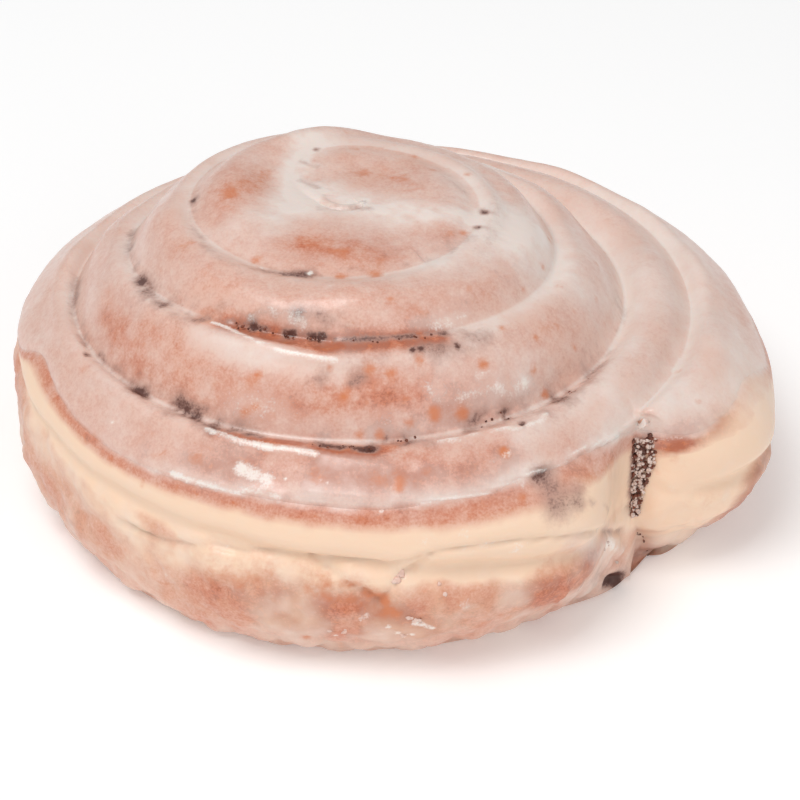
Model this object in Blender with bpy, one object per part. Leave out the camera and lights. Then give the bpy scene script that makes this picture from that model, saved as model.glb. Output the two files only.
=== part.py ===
"""A glazed, fried cinnamon roll: one strip of dough wound round itself with a layer of cinnamon filling.

Plan angles are measured at the roll's eye, the point that the strip winds round. "turn" is the angle along
the seam between coils, in degrees clockwise seen from above, and it grows outwards, so that the coil inside
the seam at one turn is the coil outside the seam one full turn earlier. Lengths are in millimetres until the
mesh is made.
"""

import bmesh
import bpy
import numpy as np

MM = 0.001

# Plan of the seam between the coils
EYE_X, EYE_Y = -5.95, 1.9
FULL_TURN = 360.0
STEP = 8.0
SEAM_START = -123.0
SEAM_END = 1301.0
TURN_OF_PLUS_X = 540.0
SEAM_RADIUS = 13.2
COIL_THICKNESS = 11.55
COIL_THINNING = 0.39
SEAM_DRIFT = 1.5
SQUEEZE_SIZE, SQUEEZE_ANGLE, SQUEEZE_SPREAD = 1.7, 110.0, 50.0
EYE_TIGHTNESS = 0.62
EYE_TIGHT_FROM, EYE_TIGHT_OVER = 90.0, 120.0

# Plan of the outside
OUTLINE_RADIUS = 54.9
OUTLINE_SHIFT, OUTLINE_SHIFT_ANGLE = 6.1, -24.0
OUTLINE_OVAL, OUTLINE_OVAL_ANGLE = 2.7, -18.5
LOBE_SIZE, LOBE_ANGLE, LOBE_SPREAD = 3.4, -26.0, 17.0
TUCK_SIZE, TUCK_SPREAD = 3.8, 40.0
TAIL_NOSE, TAIL_NOSE_THICKNESS = 18.0, 4.2
TAIL_CLEAR, FREE_SIDE_OVER = 2.0, 24.0

# Heights
RIM_HEIGHT, RIM_LEAN = 31.0, 0.035
DOME_X, DOME_Y = -6.95, -1.5
DOME_RISE, DOME_HALF_RADIUS, DOME_POWER = 17.0, 32.4, 10.0
CROWN = 2.1
GROOVE_DEPTH = 1.9
INNER_ROUND, OUTER_ROUND = 0.30, 0.42
SHOULDER_HEIGHT, SHOULDER_INSET = 29.4, 5.4
WAIST_HEIGHT, WAIST_DEPTH, WAIST_SPREAD = 22.5, 1.6, 1.8
WAIST_FALL, WAIST_FALL_SPREAD = 4.5, 40.0
UNDERCUT_HEIGHT, UNDERCUT_DEPTH = 13.0, 7.0
TAIL_UNDERCUT_HEIGHT, TAIL_UNDERCUT_DEPTH, TAIL_UNDERCUT_SPREAD = 9.0, 4.5, 42.0
FOOT_BEVEL = 0.8

# The filling between the coils
FILLING_THICKNESS, TAIL_FILLING_THICKNESS = 1.0, 2.2
TAIL_FILLING_OVER = 12.0
FILLING_GAP = 0.3
FILLING_FOOT = 1.5
FILLING_BELOW_GROOVE = 0.7
FILLING_PAST_TAIL = 1.5
FILLING_CHAMFER = 0.3
SEAM_OPENS_OVER = 27.0

# Number of faces across a section
TOP_FACES, FOOT_FACES = 7, 2
SIDE_LEVELS = (0.965, 0.90, 0.81, 0.72, 0.62, 0.42, 0.20)
CORE_RINGS = 3
LUMP_SEED, LUMP_WAVES, LUMP_SIZE = 7, 14, 0.45
LUMP_SHORTEST, LUMP_LONGEST = 11.0, 30.0


def smoothstep(x):
    """0 below 0, 1 above 1, and a smooth curve between."""
    x = np.clip(x, 0.0, 1.0)
    return x * x * (3.0 - 2.0 * x)


def bump(angle, spread):
    """1 where an angle in degrees is a whole turn, fading on both sides."""
    nearest = (angle + FULL_TURN / 2.0) % FULL_TURN - FULL_TURN / 2.0
    return np.exp(-((nearest / spread) ** 2))


def plan_angle(turn):
    """Plan angle in degrees, anticlockwise from +X, of a place along the seam."""
    return TURN_OF_PLUS_X - turn


def seam_radius(turn):
    """Distance of the seam from the eye: a spiral that drifts to one side, is squeezed on one and curls in at the eye."""
    turns = turn / FULL_TURN
    angle = np.radians(turn)
    even = SEAM_RADIUS + COIL_THICKNESS * turns - COIL_THINNING * turns**2
    drift = -SEAM_DRIFT * np.cos(angle) * np.maximum(turns, 0.0) / 2.0
    squeeze = SQUEEZE_SIZE * bump(plan_angle(turn) - SQUEEZE_ANGLE, SQUEEZE_SPREAD) * np.maximum(turns, 0.0)
    tight = 1.0 - EYE_TIGHTNESS * smoothstep((EYE_TIGHT_FROM - turn) / EYE_TIGHT_OVER)
    return (even + drift - squeeze) * tight


def seam_opening(turn):
    """0 where the coils are one piece at the eye, rising to 1 where the seam is fully open."""
    return smoothstep((turn - SEAM_START) / SEAM_OPENS_OVER)


def filling_thickness(turn):
    """Thickness of the filling at a turn: even, and thicker where it shows under the tail."""
    at_tail = smoothstep((turn - SEAM_END + TAIL_FILLING_OVER) / TAIL_FILLING_OVER)
    return FILLING_THICKNESS + (TAIL_FILLING_THICKNESS - FILLING_THICKNESS) * at_tail


def seam_half_gap(turn):
    """Half of the open width of the seam at a turn, 0 where the coils are one piece at the eye."""
    return (filling_thickness(turn) / 2.0 + FILLING_GAP) * seam_opening(turn)


def outline_radius(turn):
    """Distance of the outside from the eye, along the strip's last turn, tucked in where the tail covers it."""
    angle = plan_angle(turn)
    shifted = OUTLINE_RADIUS + OUTLINE_SHIFT * np.cos(np.radians(angle - OUTLINE_SHIFT_ANGLE))
    shifted = shifted + OUTLINE_OVAL * np.cos(2.0 * np.radians(angle - OUTLINE_OVAL_ANGLE))
    on_tail = smoothstep((turn - SEAM_END + 0.6 * FULL_TURN) / 60.0)
    lobe = LOBE_SIZE * bump(angle - LOBE_ANGLE, LOBE_SPREAD) * on_tail
    tuck = TUCK_SIZE * np.exp(-np.maximum(turn - SEAM_END + FULL_TURN, 0.0) / TUCK_SPREAD)
    return shifted + lobe - tuck


def free_side(turn):
    """0 where a further coil covers the outer side, rising to 1 where that side is the outside of the roll."""
    return smoothstep((turn - SEAM_END + FULL_TURN - TAIL_CLEAR) / FREE_SIDE_OVER)


def rim_lean(turn, radius):
    """How much lower the roll is at a place than along the middle: it leans down towards +Y."""
    return RIM_LEAN * (EYE_Y + radius * np.sin(np.radians(plan_angle(turn))))


def dome_height(turn, radius):
    """Height of the grooves above the foot at a place: a flat-topped dome on a flat rim."""
    angle = np.radians(plan_angle(turn))
    from_middle = np.hypot(EYE_X - DOME_X + radius * np.cos(angle), EYE_Y - DOME_Y + radius * np.sin(angle))
    rise = DOME_RISE / (1.0 + (from_middle / DOME_HALF_RADIUS) ** DOME_POWER)
    return RIM_HEIGHT - rim_lean(turn, radius) + rise


def edge_round(x, span):
    """A quarter round from 0 at an edge to 1 at a distance of span from it."""
    return np.sqrt(1.0 - (1.0 - np.clip(x / span, 0.0, 1.0)) ** 2)


def near_tail(turn, spread):
    """1 at the seam that the tail closes, fading on both sides of it along the last turn."""
    return bump(turn - SEAM_END, spread)


def side_inset(turn, height, shoulder_height):
    """How far the outside lies within its widest outline at a height: a waist between two bulges, tucked under."""
    waist_height = WAIST_HEIGHT - WAIST_FALL * near_tail(turn, WAIST_FALL_SPREAD)
    over = np.clip((height - WAIST_HEIGHT) / (shoulder_height - WAIST_HEIGHT), 0.0, 1.0)
    shoulder = SHOULDER_INSET * (1.0 - np.sqrt(1.0 - 0.99 * over**2)) / (1.0 - np.sqrt(0.01))
    waist = WAIST_DEPTH * np.exp(-(((height - waist_height) / WAIST_SPREAD) ** 2))
    at_tail = near_tail(turn, TAIL_UNDERCUT_SPREAD)
    undercut_height = UNDERCUT_HEIGHT + TAIL_UNDERCUT_HEIGHT * at_tail
    undercut_depth = UNDERCUT_DEPTH + TAIL_UNDERCUT_DEPTH * at_tail
    under = undercut_depth * np.clip(1.0 - height / undercut_height, 0.0, 1.0) ** 2
    return shoulder + waist + under


def lumps(x, y, z):
    """Low uneven relief of the dough: a sum of waves in seeded directions, between about -1 and 1."""
    draw = np.random.default_rng(LUMP_SEED)
    total = np.zeros(np.broadcast(x, y, z).shape)
    for _ in range(LUMP_WAVES):
        way = draw.normal(size=3)
        way = way / np.linalg.norm(way) * 2.0 * np.pi / draw.uniform(LUMP_SHORTEST, LUMP_LONGEST)
        total = total + np.sin(way[0] * x + way[1] * y + way[2] * z + draw.uniform(0.0, 2.0 * np.pi))
    return total / np.sqrt(LUMP_WAVES)


def place(turn, radius, height):
    """Points in the row frame, in millimetres, from distances to the eye and heights at one turn."""
    angle = np.radians(plan_angle(turn))
    radius, height = np.broadcast_arrays(np.asarray(radius, float), np.asarray(height, float))
    return np.stack([EYE_X + radius * np.cos(angle), EYE_Y + radius * np.sin(angle), height], axis=-1)


def coil_edges(turn):
    """Inner and outer edge of the strip at a turn, as distances from the eye."""
    if turn <= SEAM_START:
        inner = seam_radius(SEAM_START)
    else:
        inner = seam_radius(turn) + seam_half_gap(turn)
    covered = seam_radius(turn + FULL_TURN) - seam_half_gap(turn + FULL_TURN)
    nose = np.clip((turn - SEAM_END + TAIL_NOSE) / TAIL_NOSE, 0.0, 1.0)
    full = outline_radius(turn)
    thin = inner + TAIL_NOSE_THICKNESS
    outside = thin + (full - thin) * np.sqrt(1.0 - nose**2)
    return inner, covered, outside


def coil_section(turn):
    """The strip's outline at a turn: over the top, down the outer side, back along the foot and up the inner side."""
    inner, covered, outside = coil_edges(turn)
    free = free_side(turn)
    fused = turn <= SEAM_START
    shoulder = outside - np.minimum(SHOULDER_INSET, 0.45 * (outside - inner))
    top_outer = covered + (shoulder - covered) * free
    share = (1.0 - np.cos(np.pi * np.linspace(0.0, 1.0, TOP_FACES + 1))) / 2.0
    width = top_outer - inner

    shoulder_height = SHOULDER_HEIGHT - rim_lean(turn, shoulder)
    inner_height = dome_height(turn, inner)
    outer_height = dome_height(turn, covered) * (1.0 - free) + shoulder_height * free
    inner_drop = 0.0 if fused else GROOVE_DEPTH * seam_opening(turn)
    outer_drop = GROOVE_DEPTH * seam_opening(turn + FULL_TURN) * (1.0 - free)
    top_height = inner_height + (outer_height - inner_height) * share
    top_height = top_height + CROWN * np.minimum(width / COIL_THICKNESS, 1.0) * np.sin(np.pi * share)
    top_height = top_height - inner_drop * (1.0 - edge_round(share, INNER_ROUND))
    top_height = top_height - outer_drop * (1.0 - edge_round(1.0 - share, OUTER_ROUND))
    top = place(turn, inner + width * share, top_height)
    top[..., 2] += LUMP_SIZE * np.sin(np.pi * share) * lumps(top[..., 0], top[..., 1], top[..., 2])

    bevel = FOOT_BEVEL * seam_opening(turn + FULL_TURN)
    level = np.append(SIDE_LEVELS, 0.0)
    side_height = bevel + (top_height[-1] - bevel) * level
    wall_radius = np.full(len(level), covered)
    reach = np.minimum(1.0, (outside - inner) / COIL_THICKNESS)
    side_radius = outside - side_inset(turn, side_height, shoulder_height) * reach
    lump = LUMP_SIZE * free * np.sin(np.pi * level)
    mixed = wall_radius + (side_radius - wall_radius) * free
    side = place(turn, mixed, side_height)
    side = place(turn, mixed + lump * lumps(side[:, 0], side[:, 1], side[:, 2]), side_height)
    foot_edge = mixed[-1] - bevel

    inner_bevel = 0.0 if fused else FOOT_BEVEL * seam_opening(turn)
    across = np.linspace(0.0, 1.0, FOOT_FACES + 1)
    foot = place(turn, foot_edge + (inner + inner_bevel - foot_edge) * across, 0.0)
    if fused:
        return np.concatenate([top, side, foot])
    inner_wall = place(turn, inner, inner_bevel + (top_height[0] - inner_bevel) * level[::-1])
    return np.concatenate([top, side, foot, inner_wall])


def loft(mesh, sections, closed):
    """Joins sections with equal numbers of points by four-sided faces, round each section if it is closed."""
    rings = [[mesh.verts.new(point * MM) for point in section] for section in sections]
    count = len(rings[0])
    for here, there in zip(rings, rings[1:]):
        for i in range(count if closed else count - 1):
            j = (i + 1) % count
            mesh.faces.new((here[i], here[j], there[j], there[i]))
    return rings


def core_faces(mesh, turns):
    """The eye of the roll: a disc of dough that the first coil is fused to, top and foot."""
    rim = seam_radius(SEAM_START)
    for is_top in (True, False):
        rings = []
        for ring in range(1, CORE_RINGS + 1):
            radius = rim * ring / CORE_RINGS
            heights = [dome_height(turn, radius) if is_top else 0.0 for turn in turns]
            rings.append([mesh.verts.new(place(t, radius, h) * MM) for t, h in zip(turns, heights)])
        middle = mesh.verts.new(place(0.0, 0.0, dome_height(0.0, 0.0) if is_top else 0.0) * MM)
        for i in range(len(turns)):
            j = (i + 1) % len(turns)
            fan = (middle, rings[0][i], rings[0][j])
            mesh.faces.new(fan if is_top else fan[::-1])
            for inside, outside in zip(rings, rings[1:]):
                band = (inside[i], outside[i], outside[j], inside[j])
                mesh.faces.new(band if is_top else band[::-1])


def finish_mesh(mesh, name):
    """Merges what coincides, closes the faces the right way out and returns the mesh datablock."""
    bmesh.ops.remove_doubles(mesh, verts=mesh.verts, dist=0.00002)
    bmesh.ops.dissolve_degenerate(mesh, edges=mesh.edges, dist=0.00001)
    bmesh.ops.triangulate(mesh, faces=mesh.faces)
    bmesh.ops.recalc_face_normals(mesh, faces=mesh.faces)
    data = bpy.data.meshes.new(name)
    mesh.to_mesh(data)
    mesh.free()
    data.shade_smooth()
    data.set_sharp_from_angle(angle=np.radians(40.0))
    return data


def dough_mesh():
    """The whole strip of dough: the eye, the coil fused round it, and the free coils out to the tail."""
    mesh = bmesh.new()
    fused_turns = np.arange(SEAM_START - FULL_TURN, SEAM_START + STEP / 2, STEP)
    core_faces(mesh, fused_turns[:-1])
    loft(mesh, [coil_section(turn) for turn in fused_turns], closed=False)
    free_turns = np.arange(SEAM_START, SEAM_END + STEP / 2, STEP)
    sections = [coil_section(turn + 1e-9) for turn in free_turns]
    rings = loft(mesh, sections, closed=True)
    mesh.faces.new(rings[-1])
    return finish_mesh(mesh, "cinnamon_roll_dough")


def filling_section(turn):
    """The filling between two coils at a turn: an upright strip from near the foot to just below the groove."""
    radius = seam_radius(turn)
    half = filling_thickness(turn) / 2.0
    top = dome_height(turn, radius) - FILLING_BELOW_GROOVE
    low, high = radius - half, radius + half
    radii = [low, low, low + FILLING_CHAMFER, high - FILLING_CHAMFER, high, high]
    heights = [FILLING_FOOT, top - FILLING_CHAMFER, top, top, top - FILLING_CHAMFER, FILLING_FOOT]
    return place(turn, radii, heights)


def filling_mesh():
    """The cinnamon filling: one thin strip that winds through the roll and shows in the grooves and at the tail."""
    mesh = bmesh.new()
    turns = np.arange(SEAM_START + SEAM_OPENS_OVER, SEAM_END + STEP / 2, STEP)
    turns = np.append(turns, SEAM_END + FILLING_PAST_TAIL)
    rings = loft(mesh, [filling_section(turn) for turn in turns], closed=True)
    mesh.faces.new(rings[0])
    mesh.faces.new(rings[-1])
    return finish_mesh(mesh, "cinnamon_roll_filling")


def make_material(name, colour, roughness):
    """A plain Principled material."""
    material = bpy.data.materials.new(name)
    material.use_nodes = True
    shader = material.node_tree.nodes["Principled BSDF"]
    shader.inputs["Base Color"].default_value = (*colour, 1.0)
    shader.inputs["Roughness"].default_value = roughness
    shader.inputs["Metallic"].default_value = 0.0
    return material


def add_object(collection, name, data, material):
    """Links one named object with its material."""
    data.materials.append(material)
    piece = bpy.data.objects.new(name, data)
    collection.objects.link(piece)
    return piece


def main():
    for old in list(bpy.data.objects):
        bpy.data.objects.remove(old)
    collection = bpy.data.collections.new("cinnamon_roll")
    bpy.context.scene.collection.children.link(collection)
    glazed_dough = make_material("glazed_dough", (0.75, 0.52, 0.41), 0.35)
    cinnamon = make_material("cinnamon_filling", (0.19, 0.08, 0.05), 0.6)
    add_object(collection, "dough_coil", dough_mesh(), glazed_dough)
    add_object(collection, "cinnamon_filling", filling_mesh(), cinnamon)


main()
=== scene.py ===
"""Dresses a glazed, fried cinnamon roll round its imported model.

Plan angles are measured at the roll's eye, the point that the strip of dough winds round. "turn" is the
angle along the seam between the coils, in degrees clockwise seen from above, and it grows outwards. Lengths
are in millimetres until a mesh is made.
"""

from __future__ import annotations

import logging
from collections.abc import Callable
from dataclasses import dataclass, field
from enum import Enum

import bmesh
import bpy
import numpy as np
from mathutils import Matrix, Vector

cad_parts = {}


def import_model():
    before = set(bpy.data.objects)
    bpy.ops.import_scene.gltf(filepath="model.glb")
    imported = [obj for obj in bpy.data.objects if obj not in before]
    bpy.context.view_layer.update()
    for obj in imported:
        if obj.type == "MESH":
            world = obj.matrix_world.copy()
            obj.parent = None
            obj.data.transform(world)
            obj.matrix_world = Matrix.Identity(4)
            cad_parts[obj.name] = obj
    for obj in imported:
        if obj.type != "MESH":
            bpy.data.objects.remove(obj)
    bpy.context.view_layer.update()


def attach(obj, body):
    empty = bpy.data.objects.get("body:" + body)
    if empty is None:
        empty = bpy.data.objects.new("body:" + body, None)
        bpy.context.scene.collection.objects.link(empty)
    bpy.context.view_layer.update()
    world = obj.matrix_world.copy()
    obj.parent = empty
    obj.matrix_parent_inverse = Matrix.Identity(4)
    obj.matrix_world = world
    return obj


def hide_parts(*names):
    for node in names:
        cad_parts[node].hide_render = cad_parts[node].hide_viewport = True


Array = np.ndarray
Socket = bpy.types.NodeSocket
Colour = tuple[float, float, float, float]
Place = tuple[float, float]
Path = tuple[Place, ...]
Row = tuple[float, float, float, Path]
LOG = logging.getLogger("cinnamon_roll")
MM = 0.001
FULL_TURN = 360.0
BODY = "root"
NOISE_GAIN = 1.35
SEED_JITTER = 0.42
SEAM_TURNS = 6
FAR = 99.0


def smoothstep(x: Array) -> Array:
    """0 below 0, 1 above 1, and 3x^2 - 2x^3 between."""
    x = np.clip(x, 0.0, 1.0)
    return x * x * (3.0 - 2.0 * x)


def bell(x: Array, spread: Array | float) -> Array:
    """exp(-(x/spread)^2): 1 at x = 0 and nearly 0 at twice the spread."""
    return np.exp(-((x / spread) ** 2))


def bump(angle: Array, spread: float) -> Array:
    """A bell over an angle in degrees, wrapped to half a turn on both sides."""
    return bell((angle + FULL_TURN / 2.0) % FULL_TURN - FULL_TURN / 2.0, spread)


def edge_round(x: Array) -> Array:
    """A quarter round: sqrt(1 - (1 - x)^2), from 0 at x = 0 to 1 at x = 1."""
    return np.sqrt(np.maximum(1.0 - (1.0 - np.clip(x, 0.0, 1.0)) ** 2, 0.0))


def soft_max(a: Array, b: Array, width: float) -> Array:
    """The larger of two heights, with a fillet of about this width where they cross."""
    return (a + b + np.sqrt((a - b) ** 2 + width**2)) / 2.0


def hashed(cells: Array) -> Array:
    """A fixed random value between -1 and 1 for each whole-number cell."""
    mixed = cells[..., 0] * 73856093 ^ cells[..., 1] * 19349663 ^ cells[..., 2] * 83492791
    mixed = (mixed ^ (mixed >> 13)) * 1274126177
    mixed = mixed ^ (mixed >> 16)
    return (mixed & 0xFFFF) / 32767.5 - 1.0


def noise(points: Array, cell: float, seed: int) -> Array:
    """Smooth noise: fixed random values at the corners of a lattice, blended across each cell.

    Args:
        points: places in millimetres, with three columns.
        cell: size of a cell of the lattice.
        seed: number of this noise.

    Returns:
        One value between -1 and 1 for each point.
    """
    scaled = points / cell + 0.37 + 11.0 * seed
    base = np.floor(scaled).astype(np.int64)
    part = smoothstep(scaled - base)
    total = np.zeros(points.shape[:-1])
    for corner in range(8):
        step = np.array([(corner >> axis) & 1 for axis in range(3)])
        weight = np.prod(np.where(step == 1, part, 1.0 - part), axis=-1)
        total += weight * hashed(base + step + seed)
    return total


def cloud(points: Array, cell: float, seed: int, layers: int = 3, falloff: float = 0.55) -> Array:
    """Noise in layers, each half the size of the one before and weaker.

    Args:
        points: places in millimetres.
        cell: size of a cell of the first layer.
        seed: number of this noise.
        layers: number of layers.
        falloff: strength of a layer as a share of the one before.

    Returns:
        One value for each point, mostly between -1 and 1.
    """
    total = np.zeros(points.shape[:-1])
    weight, strength = 0.0, 1.0
    for layer in range(layers):
        total += strength * noise(points, cell / 2.0**layer, seed + 7 * layer)
        weight += strength
        strength *= falloff
    return total / weight * NOISE_GAIN


def pebbles(points: Array, cell: float, seed: int) -> tuple[Array, Array]:
    """Distance to the nearest of scattered seeds, one in each cell of a lattice.

    Args:
        points: places in millimetres.
        cell: size of a cell of the lattice.
        seed: number of this scatter.

    Returns:
        The distance in cells and a random value between 0 and 1 of the nearest seed.
    """
    scaled = points / cell + 0.71 + 13.0 * seed
    base = np.floor(scaled).astype(np.int64)
    nearest = np.full(points.shape[:-1], 9.0)
    value = np.zeros(points.shape[:-1])
    for number in range(27):
        step = np.array([number // 9 % 3, number // 3 % 3, number % 3]) - 1
        here = base + step
        jitter = np.stack([hashed(here + seed + 31 * axis) for axis in range(3)], axis=-1)
        distance = np.linalg.norm(here + 0.5 + SEED_JITTER * jitter - scaled, axis=-1)
        closer = distance < nearest
        nearest = np.where(closer, distance, nearest)
        value = np.where(closer, (hashed(here + seed + 101) + 1.0) / 2.0, value)
    return nearest, value


@dataclass(frozen=True)
class Seam:
    """The spiral line between the coils."""

    eye_x: float = -5.95
    eye_y: float = 1.9
    start: float = -123.0
    end: float = 1297.0
    turn_of_plus_x: float = 540.0
    first_radius: float = 13.2
    coil_thickness: float = 11.55
    coil_thinning: float = 0.39
    drift: float = 1.5
    squeeze: float = 1.7
    squeeze_angle: float = 110.0
    squeeze_spread: float = 50.0
    eye_tightness: float = 0.62
    eye_tight_from: float = 90.0
    eye_tight_over: float = 120.0
    opens_over: float = 27.0
    eye_share: float = 0.12
    eye_from: float = 60.0
    eye_over: float = 130.0
    half_gap: float = 0.8

    def plan_angle(self, turn: Array) -> Array:
        """Plan angle in degrees, anticlockwise from +X."""
        return self.turn_of_plus_x - turn

    def radius(self, turn: Array) -> Array:
        """Distance of the seam from the eye.

        Radius = (first + thickness*turns - thinning*turns^2 + drift - squeeze) * tightness at the eye.

        Args:
            turn: degrees along the seam.

        Returns:
            The distance at each turn.
        """
        turns = turn / FULL_TURN
        outwards = np.maximum(turns, 0.0)
        even = self.first_radius + self.coil_thickness * turns - self.coil_thinning * turns**2
        drift = -self.drift * np.cos(np.radians(turn)) * outwards / 2.0
        at_squeeze = bump(self.plan_angle(turn) - self.squeeze_angle, self.squeeze_spread)
        squeeze = self.squeeze * at_squeeze * outwards
        tight = 1.0 - self.eye_tightness * smoothstep((self.eye_tight_from - turn) / self.eye_tight_over)
        return (even + drift - squeeze) * tight

    def opening(self, turn: Array) -> Array:
        """0 where the coils are one piece at the eye, faint round it, and 1 where the seam is open."""
        return self.past_eye(turn) * smoothstep((turn - self.start) / self.opens_over)

    def past_eye(self, turn: Array) -> Array:
        """Small at the eye, where the coils are nearly level with each other, rising to 1 further out."""
        return self.eye_share + (1.0 - self.eye_share) * smoothstep((turn - self.eye_from) / self.eye_over)


@dataclass(frozen=True)
class RollForm:
    """The solid form of the roll: its outline, its dome and its side, as the solid model has them."""

    seam: Seam = field(default_factory=Seam)
    outline_radius: float = 54.9
    outline_shift: float = 6.1
    outline_shift_angle: float = -24.0
    outline_oval: float = 2.7
    outline_oval_angle: float = -18.5
    lobe_size: float = 3.4
    lobe_angle: float = -26.0
    lobe_spread: float = 17.0
    lobe_before_tail: float = 216.0
    lobe_over: float = 60.0
    tuck: float = 3.8
    tuck_spread: float = 40.0
    nose: float = 18.0
    nose_thickness: float = 2.0
    tail_clear: float = 2.0
    tail_back: float = 0.6
    tail_lip_over: float = 0.08
    tail_open: float = 1.2
    tail_open_level: float = 0.42
    tail_open_over: float = 0.42
    tail_skew: float = 4.2
    tail_skew_level: float = 0.40
    tail_skew_over: float = 0.28
    tail_reach: float = 14.0
    tail_pinch: float = 1.9
    tail_pinch_over: float = 0.40
    tail_pinch_reach: float = 7.0
    free_side_over: float = 17.0
    rim_height: float = 31.0
    rim_lean: float = 0.035
    dome_x: float = -6.95
    dome_y: float = -1.5
    dome_rise: float = 17.0
    dome_half_radius: float = 32.4
    dome_power: float = 10.0
    crown: float = 2.1
    crown_lag: float = 180.0
    crown_skew: float = 2.0
    crown_skew_lead: float = 140.0
    narrowest: float = 4.0
    groove_depth: float = 1.9
    inner_round: float = 0.30
    outer_round: float = 0.42
    shoulder_height: float = 29.4
    shoulder_inset: float = 5.4
    shoulder_widest: float = 0.45
    shoulder_fullness: float = 0.8
    waist_height: float = 22.5
    waist_depth: float = 1.6
    waist_spread: float = 1.8
    waist_fall: float = 4.5
    waist_fall_spread: float = 40.0
    undercut_height: float = 13.0
    undercut_depth: float = 7.0
    tail_undercut_height: float = 9.0
    tail_undercut_depth: float = 4.5
    tail_undercut_spread: float = 42.0
    foot_bevel: float = 0.8
    open_coils: float = 4.0
    lump_seed: int = 7
    lump_waves: int = 14
    lump_size: float = 0.45
    lump_shortest: float = 11.0
    lump_longest: float = 30.0

    def outline(self, turn: Array) -> Array:
        """Widest outline of the roll: a circle + shift*cos(angle) + oval*cos(2*angle) + lobe - tuck.

        Args:
            turn: turns of the last coil.

        Returns:
            The distance from the eye at each turn.
        """
        angle = self.seam.plan_angle(turn)
        wide = self.outline_radius + self.outline_shift * np.cos(np.radians(angle - self.outline_shift_angle))
        wide = wide + self.outline_oval * np.cos(2.0 * np.radians(angle - self.outline_oval_angle))
        on_tail = smoothstep((turn - self.seam.end + self.lobe_before_tail) / self.lobe_over)
        lobe = self.lobe_size * bump(angle - self.lobe_angle, self.lobe_spread) * on_tail
        past = np.maximum(turn - self.seam.end + FULL_TURN, 0.0)
        return wide + lobe - self.tuck * np.exp(-past / self.tuck_spread)

    def set_back(self, turn: Array, level: Array) -> Array:
        """How far the tail's end lies back: an opening under the glaze and a lean near the foot.

        Args:
            turn: turns of the last coil.
            level: share of the height above the foot.

        Returns:
            Degrees, fading out with the distance from the end.
        """
        lip = smoothstep((1.0 - level) / self.tail_lip_over)
        opened = self.tail_open * smoothstep((level - self.tail_open_level) / self.tail_open_over) * lip
        skewed = self.tail_skew * smoothstep((self.tail_skew_level - level) / self.tail_skew_over)
        return (self.tail_back * lip + opened + skewed) * bell(turn - self.seam.end, self.tail_reach)

    def free_side(self, turn: Array) -> Array:
        """0 where a further coil covers the outer side, rising to 1 where that side shows."""
        return smoothstep((turn - self.seam.end + FULL_TURN - self.tail_clear) / self.free_side_over)

    def lean(self, turn: Array, radius: Array) -> Array:
        """How much lower the roll is at a place than along its middle: it leans down towards +Y."""
        return self.rim_lean * (self.seam.eye_y + radius * np.sin(np.radians(self.seam.plan_angle(turn))))

    def dome(self, turn: Array, radius: Array) -> Array:
        """Height of the grooves: rim - lean + rise / (1 + (distance/half radius)^power).

        Args:
            turn: turns, for the direction from the eye.
            radius: distances from the eye.

        Returns:
            A height for each place.
        """
        angle = np.radians(self.seam.plan_angle(turn))
        along = self.seam.eye_x - self.dome_x + radius * np.cos(angle)
        across = self.seam.eye_y - self.dome_y + radius * np.sin(angle)
        rise = self.dome_rise / (1.0 + (np.hypot(along, across) / self.dome_half_radius) ** self.dome_power)
        return self.rim_height - self.lean(turn, radius) + rise

    def lumps(self, points: Array) -> Array:
        """Low uneven relief: a sum of waves in seeded directions over the square root of their number.

        Args:
            points: places in millimetres.

        Returns:
            A value for each place, mostly between -1.5 and 1.5.
        """
        draw = np.random.default_rng(self.lump_seed)
        total = np.zeros(points.shape[:-1])
        for _ in range(self.lump_waves):
            way = draw.normal(size=3)
            length = draw.uniform(self.lump_shortest, self.lump_longest)
            way = way / np.linalg.norm(way) * 2.0 * np.pi / length
            total = total + np.sin(points @ way + draw.uniform(0.0, 2.0 * np.pi))
        return total / np.sqrt(self.lump_waves)

    def side_inset(self, turn: Array, height: Array, shoulder_height: Array) -> Array:
        """How far the outside lies within its widest outline: shoulder + waist + undercut.

        The shoulder is part of an ellipse, the waist a bell, and the undercut a square of the depth below it.

        Args:
            turn: turns of the last coil.
            height: heights above the floor.
            shoulder_height: height of the shoulder at each turn.

        Returns:
            An inset for each place.
        """
        near_tail = turn - self.seam.end
        waist_height = self.waist_height - self.waist_fall * bump(near_tail, self.waist_fall_spread)
        over = np.clip((height - self.waist_height) / (shoulder_height - self.waist_height), 0.0, 1.0)
        full = self.shoulder_fullness
        shoulder = self.shoulder_inset * (1.0 - np.sqrt(1.0 - full * over**2)) / (1.0 - np.sqrt(1.0 - full))
        waist = self.waist_depth * bell(height - waist_height, self.waist_spread)
        at_tail = bump(near_tail, self.tail_undercut_spread)
        undercut_height = self.undercut_height + self.tail_undercut_height * at_tail
        undercut_depth = self.undercut_depth + self.tail_undercut_depth * at_tail
        under = undercut_depth * np.clip(1.0 - height / undercut_height, 0.0, 1.0) ** 2
        return shoulder + waist + under

    def place(self, turn: Array, radius: Array, height: Array) -> Array:
        """Points in the roll's frame: eye + radius*(cos, sin) of the plan angle, at a height.

        Args:
            turn: turns.
            radius: distances from the eye.
            height: heights above the floor.

        Returns:
            A point for each place.
        """
        angle = np.radians(self.seam.plan_angle(turn))
        x = self.seam.eye_x + radius * np.cos(angle)
        y = self.seam.eye_y + radius * np.sin(angle)
        return np.stack(np.broadcast_arrays(x, y, height), axis=-1)

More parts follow.
